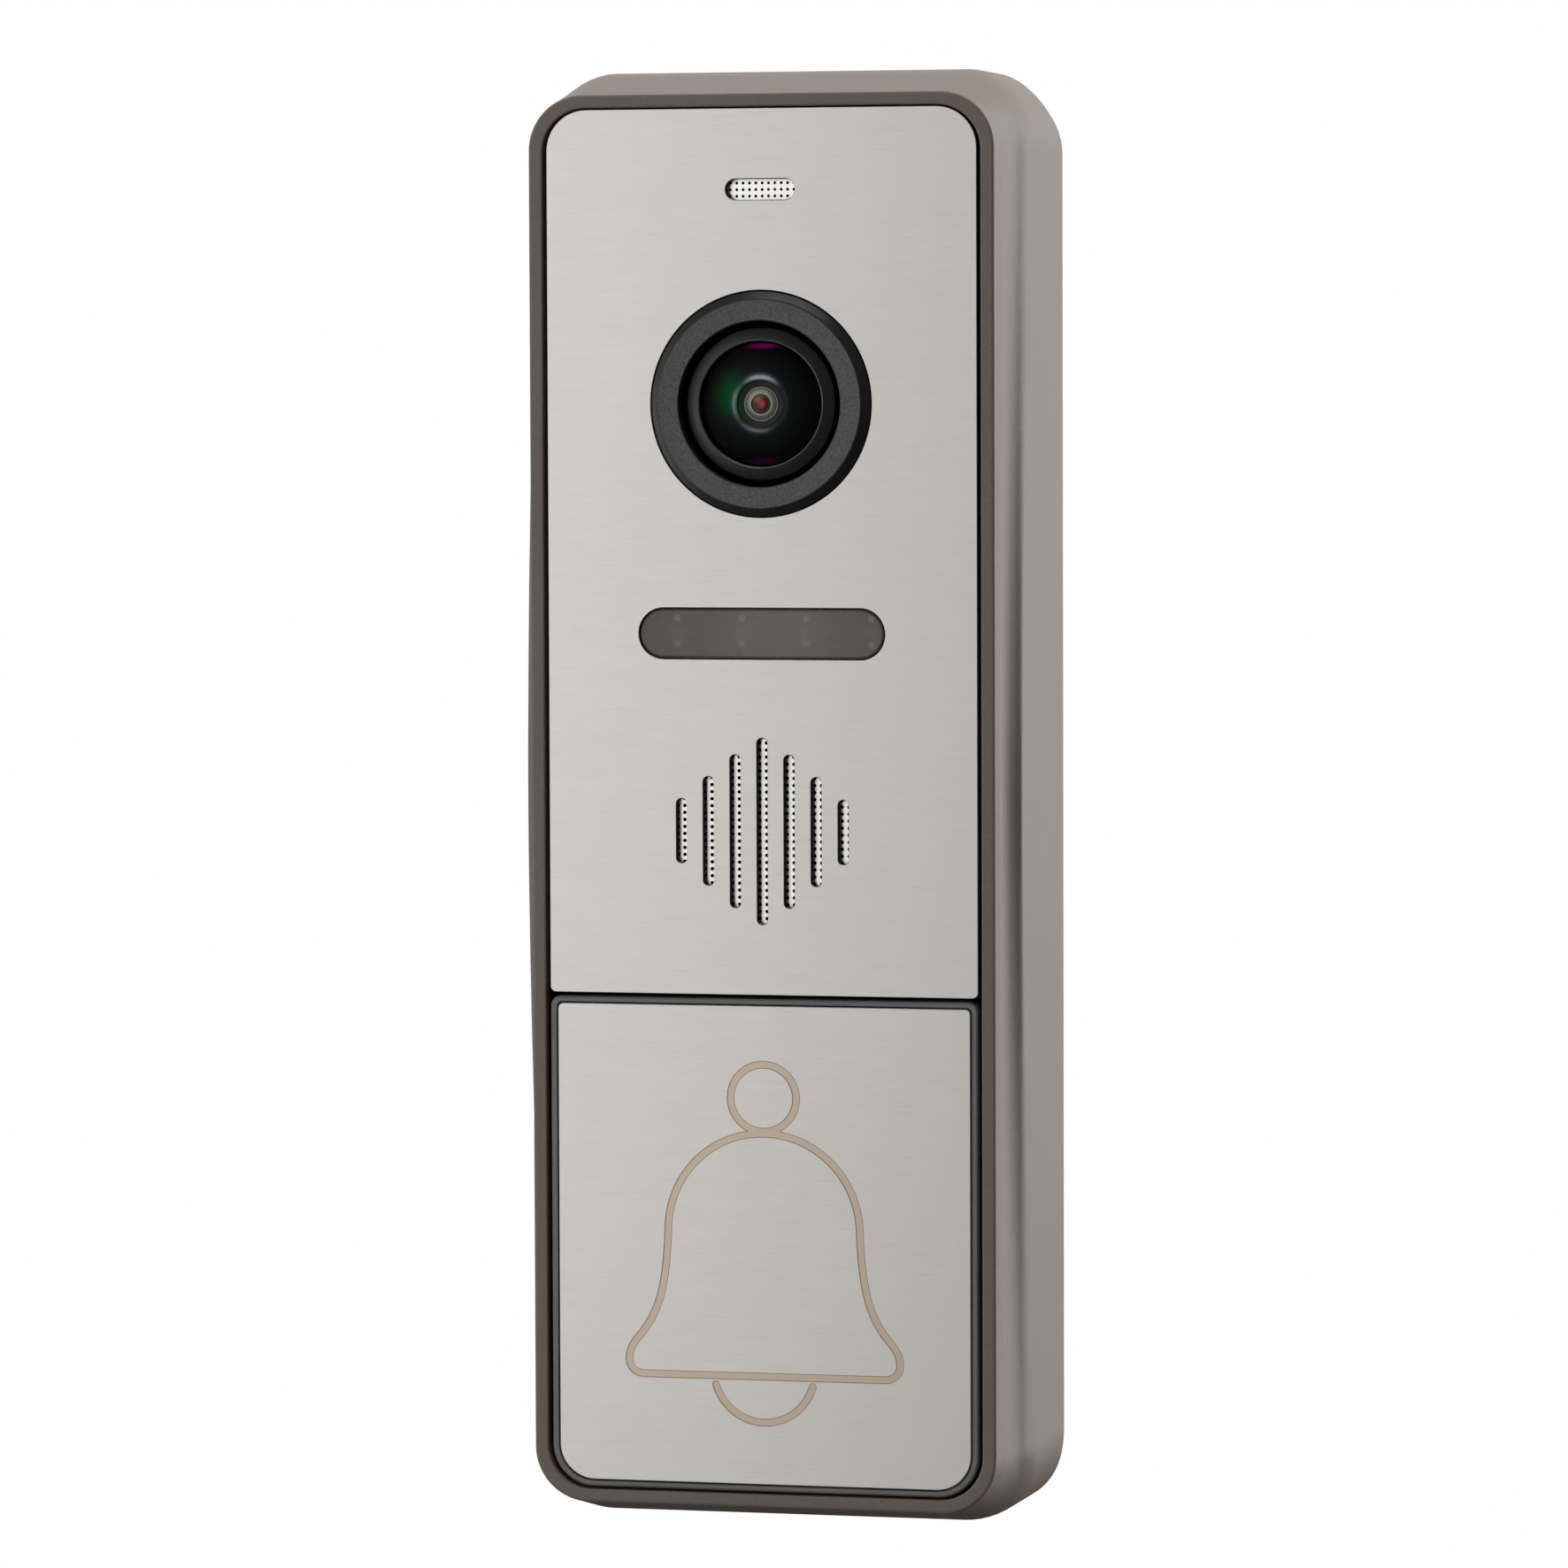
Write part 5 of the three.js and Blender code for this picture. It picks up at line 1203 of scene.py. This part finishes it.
def build_rear_cover():
    """The moulded back: notches for the bracket's lips, windows over the settings and a cable hole."""
    notch, notch_z, radius = 7.3 * MM, 60.9 * MM, 5.2 * MM
    points = loop_of(outline(COVER.left, COVER.right, COVER.bottom, COVER.top, radius, radius, arc=14))

    def quarter(right, up):
        return [(x, z) for x, z in points if (x > 0) == right and (z > 0) == up]

    bottom_notch = [(-notch, COVER.bottom), (-notch, -notch_z), (notch, -notch_z), (notch, COVER.bottom)]
    top_notch = [(notch, COVER.top), (notch, notch_z), (-notch, notch_z), (-notch, COVER.top)]
    loop = quarter(True, False) + quarter(True, True) + top_notch
    loop += quarter(False, True) + quarter(False, False) + bottom_notch
    trimmer_x, settings_z = Edges("trimmer_rotor").middle
    slide = Edges("slide_switch_body")
    reach, gap = 3.2 * MM, 0.6 * MM
    holes = [round_hole(x, z, 1.5 * MM) for x, z in CASE_SCREWS]
    holes.append(round_hole(*GROMMET.middle, 4.4 * MM, 64))
    for left, right in ((trimmer_x - reach, trimmer_x + reach), (slide.left - gap, slide.right + gap)):
        holes.append(rounded_hole(left, right, settings_z - reach, settings_z + reach, 0.5 * MM, 6))
    mesh = sheet_with_holes(loop, holes, COVER.front, COVER.back, 0.15 * MM)
    above = COVER.back + MM
    cuts = [rod_mesh(x, z, 2.6 * MM, -3.9 * MM, above, 48) for x, z in CASE_SCREWS]
    for z in (-20 * MM, -30 * MM, -40 * MM):
        cuts.append(block(-14 * MM, 14 * MM, COVER.back - 0.35 * MM, above, z - 0.8 * MM, z + 0.8 * MM))
    finish_piece("moulded_back", combined(mesh, cuts), [REAR_PLASTIC], ["rear_cover"], 40)


build_rear_cover()


def build_grommet():
    """The rubber sleeve, whose neck sits in the cover between two flanges."""
    bore, flange, neck, front, back = 3.2 * MM, 5.3 * MM, 4.1 * MM, GROMMET.front, GROMMET.back
    neck_front, neck_back = -4.7 * MM, -2.1 * MM
    corners = [
        (bore, front), (flange, front), (flange, neck_front), (neck, neck_front),
        (neck, neck_back), (flange, neck_back), (flange, back), (bore, back),
    ]
    mesh = turned(softened(corners, 0.14 * MM, 3), *GROMMET.middle, 72)
    finish_piece("rubber_sleeve", mesh, [RUBBER], ["cable_grommet"])


build_grommet()


def build_bracket():
    """The plated wall plate with its two lips, wiring opening and screw slots."""
    lip, lip_low, lip_high, hook_top = 6 * MM, 61.4 * MM, 62.8 * MM, 63.9 * MM
    half_height, plate_front = 61 * MM, -1.6 * MM
    plate = loop_of(centred(BRACKET.half_width, half_height, 4 * MM, arc=12))
    holes = [rounded_hole(-11 * MM, 11 * MM, 3 * MM, 34 * MM, 3 * MM, 10)]
    holes += [pill(0, z, 1.9 * MM, 4 * MM, 12) for z in (42 * MM, -42 * MM)]
    mesh = sheet_with_holes(plate, holes, plate_front, 0.0, 0.12 * MM)
    parts = []
    for side in (-1, 1):
        for low, front in ((half_height - MM, plate_front), (lip_low, BRACKET.front)):
            parts.append(block(-lip, lip, front, 0.0, *sorted((side * low, side * lip_high))))
    parts.append(block(-lip, lip, BRACKET.front, -3.6 * MM, lip_low, hook_top))
    mesh = combined(mesh, parts, "UNION")
    thread = upright_rod(0, (LOCK.front + LOCK.back) / 2, 1.3 * MM, -64 * MM, -60.5 * MM)
    finish_piece("wall_plate", combined(mesh, [thread]), [BRACKET_STEEL], ["wall_bracket"], 40)


build_bracket()

# ---------------------------------------------------------------- hidden and small pieces

# These keep their CAD shape with rounded edges: node, piece, rounding in millimetres, material, slot, body.
SOFT_EDGED = [
    ("front_frame", "inner_moulding", 0.12, MATT_BLACK, "black_plastic", "case"),
    ("lens_holder", "lens_mount", 0.15, MATT_BLACK, "black_plastic", "case"),
    ("cable_header", "wire_header", 0.12, WHITE_PLASTIC, "white_plastic", "case"),
    ("switch_body", "switch_case", 0.15, CHIP, "chip", "case"),
    ("slide_switch_body", "slide_case", 0.12, CHIP, "chip", "case"),
    ("slide_switch_lever", "slide_knob", 0.12, WHITE_PLASTIC, "white_plastic", "format_lever"),
    ("trimmer_body", "trimmer_case", 0.12, WHITE_PLASTIC, "white_plastic", "case"),
    ("trimmer_rotor", "trimmer_disc", 0.07, ZINC, "zinc", "volume_rotor"),
    ("video_chip", "video_circuit", 0.10, CHIP, "chip", "case"),
    ("image_sensor", "sensor_chip", 0.10, CHIP, "chip", "case"),
    ("main_board", "circuit_sheet", 0.08, BOARD, "circuit_board", "case"),
    ("lamp_board", "lamp_circuit", 0.08, BOARD, "circuit_board", "case"),
    ("rear_seal", "seal_ring", 0.15, RUBBER, "rubber", "case"),
    *[(f"lamp_{i}", f"lamp_lens_{i}", 0.18, LAMP, "lamp", "case") for i in range(1, 5)],
]
for node, name, width, material, slot, body in SOFT_EDGED:
    finish_piece(name, softened_copy(node, width * MM), [material], [node], 40, body)

# Round pieces, turned from (radius, y) corners in millimetres: node, corners, material, slot.
TURNED = [
    ("aperture_stop", [(0.9, -15.7), (2.25, -15.7), (2.25, -15.3), (0.9, -15.3)], BLACKENED, "black_plastic"),
    ("mic_boot", [(1, -18.1), (4.2, -18.1), (4.2, -13.9), (3.35, -13.9), (3.35, -17.2), (1, -17.2)], RUBBER, "rubber"),
    ("mic_capsule", [(0, -16.9), (3, -16.9), (3, -14.4), (0, -14.4)], ZINC, "zinc"),
    ("speaker_gasket", [(10, -18.1), (11.9, -18.1), (11.9, -17.3), (10, -17.3)], RUBBER, "rubber"),
    ("speaker_basket", [
        (10.4, -17), (12, -17), (12, -15.9), (9, -15.2), (6.6, -12.7), (3.4, -12.7), (3.4, -13.3),
        (6.2, -13.3), (8.6, -15.9), (10.4, -16.2),
    ], ZINC, "zinc"),
    ("speaker_cone", [
        (0, -16.4), (2, -16), (3, -14.9), (8, -16.6), (9.1, -17), (10.1, -16.7), (10.1, -16.4),
        (9.1, -16.6), (8, -16.2), (3.1, -14.4), (2.7, -14.4), (1.7, -15.6), (0, -16),
    ], PAPER, "cone_paper"),
    ("speaker_magnet", [
        (0, -12.1), (2.4, -12.1), (2.4, -12.4), (6, -12.4), (6, -10.2), (5.4, -9.6), (0, -9.6),
    ], ZINC, "zinc"),
    ("power_capacitor", [(0, -13.6), (2.6, -13.6), (2.6, -7.9), (0, -7.9)], CHIP, "chip"),
    ("switch_plunger", [(0, -14), (1.5, -14), (1.5, -9.4), (0, -9.4)], WHITE_PLASTIC, "white_plastic"),
]
for node, corners, material, slot in TURNED:
    hollow = corners[0][0] > 0
    mesh = turned(softened(in_mm(corners), 0.12 * MM, 3, closed=hollow), *Edges(node).middle, 64)
    body = "switch_plunger" if node == "switch_plunger" else "case"
    finish_piece(f"{node}_turned", mesh, [material], [node], 35, body)

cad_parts["ir_filter"].data.materials.clear()
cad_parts["ir_filter"].data.materials.append(INNER_GLASS)

# ---------------------------------------------------------------- stage, light and camera


def camera_only(nodes, links, seen, other, target):
    """Shows one shader to the camera and lights the object with another."""
    path = nodes.new("ShaderNodeLightPath")
    choose = nodes.new("ShaderNodeMixShader")
    links.new(path.outputs["Is Camera Ray"], choose.inputs["Fac"])
    links.new(other, choose.inputs[1])
    links.new(seen, choose.inputs[2])
    links.new(choose.outputs["Shader"], target)


def direction(azimuth, elevation):
    """From the object towards a place in front of it. Azimuth 0 is straight ahead."""
    flat = math.cos(elevation)
    return Vector((math.sin(azimuth) * flat, -math.cos(azimuth) * flat, math.sin(elevation)))


def build_floor():
    """A floor far below, since the bell hangs at the height of a hand. The camera sees it as white."""
    side, level = 8.0, -1.2
    s = Shader("pale_floor", (0.09, 0.09, 0.09), roughness=0.8)
    glow = s.node("Emission", {"Color": (1, 1, 1, 1)})
    camera_only(s.nodes, s.links, glow.outputs[0], s.bsdf.outputs[0], s.nodes["Material Output"].inputs["Surface"])
    bm = bmesh.new()
    corners = [(-side, -side), (side, -side), (side, side), (-side, side)]
    bm.faces.new([bm.verts.new((x, y, level)) for x, y in corners])
    mesh = mesh_of(bm, "floor")
    mesh.materials.append(s.material)
    placed("floor", mesh)


def soft_light(name, azimuth, elevation, distance, width, height, radiance):
    """A soft rectangle of light that faces the object from a direction and has the given brightness."""
    towards = direction(math.radians(azimuth), math.radians(elevation))
    data = bpy.data.lights.new(name, "AREA")
    data.shape = "RECTANGLE"
    data.size, data.size_y = width, height
    data.energy = radiance * math.pi * width * height
    light = placed(name, data)
    light.location = towards * distance
    light.rotation_euler = towards.to_track_quat("Z", "Y").to_euler()


def build_world():
    """A white backdrop stands behind the object, and the room in front of it is dark."""
    world = bpy.data.worlds.new("studio")
    bpy.context.scene.world = world
    world.use_nodes = True
    nodes, links = world.node_tree.nodes, world.node_tree.links
    dim, seen = nodes["Background"], nodes.new("ShaderNodeBackground")
    for background in (dim, seen):
        background.inputs["Color"].default_value = (1, 1, 1, 1)
    split = nodes.new("ShaderNodeSeparateXYZ")
    links.new(nodes.new("ShaderNodeTexCoord").outputs["Generated"], split.inputs[0])
    backdrop = nodes.new("ShaderNodeMapRange")
    backdrop.interpolation_type = "SMOOTHSTEP"
    for key, value in (("From Min", -0.2), ("From Max", 0.4), ("To Min", 0.07), ("To Max", 0.9)):
        backdrop.inputs[key].default_value = value
    links.new(split.outputs["Y"], backdrop.inputs["Value"])
    links.new(backdrop.outputs["Result"], dim.inputs["Strength"])
    camera_only(nodes, links, seen.outputs[0], dim.outputs[0], nodes["World Output"].inputs["Surface"])


def build_camera():
    """A long lens to the right of the object and slightly above it, with a small roll."""
    target, distance = Vector((-2.75 * MM, -2.0 * MM, 0.63 * MM)), 659.8 * MM
    azimuth, elevation, roll = math.radians(13.45), math.radians(3.3), math.radians(-0.204)
    away = direction(azimuth, elevation)
    level = Vector((math.cos(azimuth), math.sin(azimuth), 0))
    above = away.cross(level)
    right = level * math.cos(roll) + above * math.sin(roll)
    up = above * math.cos(roll) - level * math.sin(roll)
    data = bpy.data.cameras.new("camera")
    data.lens = 166.5
    data.sensor_width = 36
    data.clip_end = 50
    camera = placed("camera", data)
    turn = Matrix((right, up, away)).transposed().to_4x4()
    camera.matrix_world = Matrix.Translation(target + away * distance) @ turn
    bpy.context.scene.camera = camera


build_floor()
soft_light("right_box", 128, 8, 0.90, 0.60, 0.90, 3.2)
soft_light("top_box", 90, 86, 0.80, 0.70, 0.60, 1.95)
soft_light("front_left_card", -27, 5.5, 0.90, 0.60, 0.86, 1.42)
soft_light("left_strip", -78, 2, 0.90, 0.18, 0.80, 1.3)
soft_light("left_fill", -60, -14, 0.90, 0.34, 0.70, 1.0)
build_world()
build_camera()
bpy.context.scene.view_settings.view_transform = "Standard"
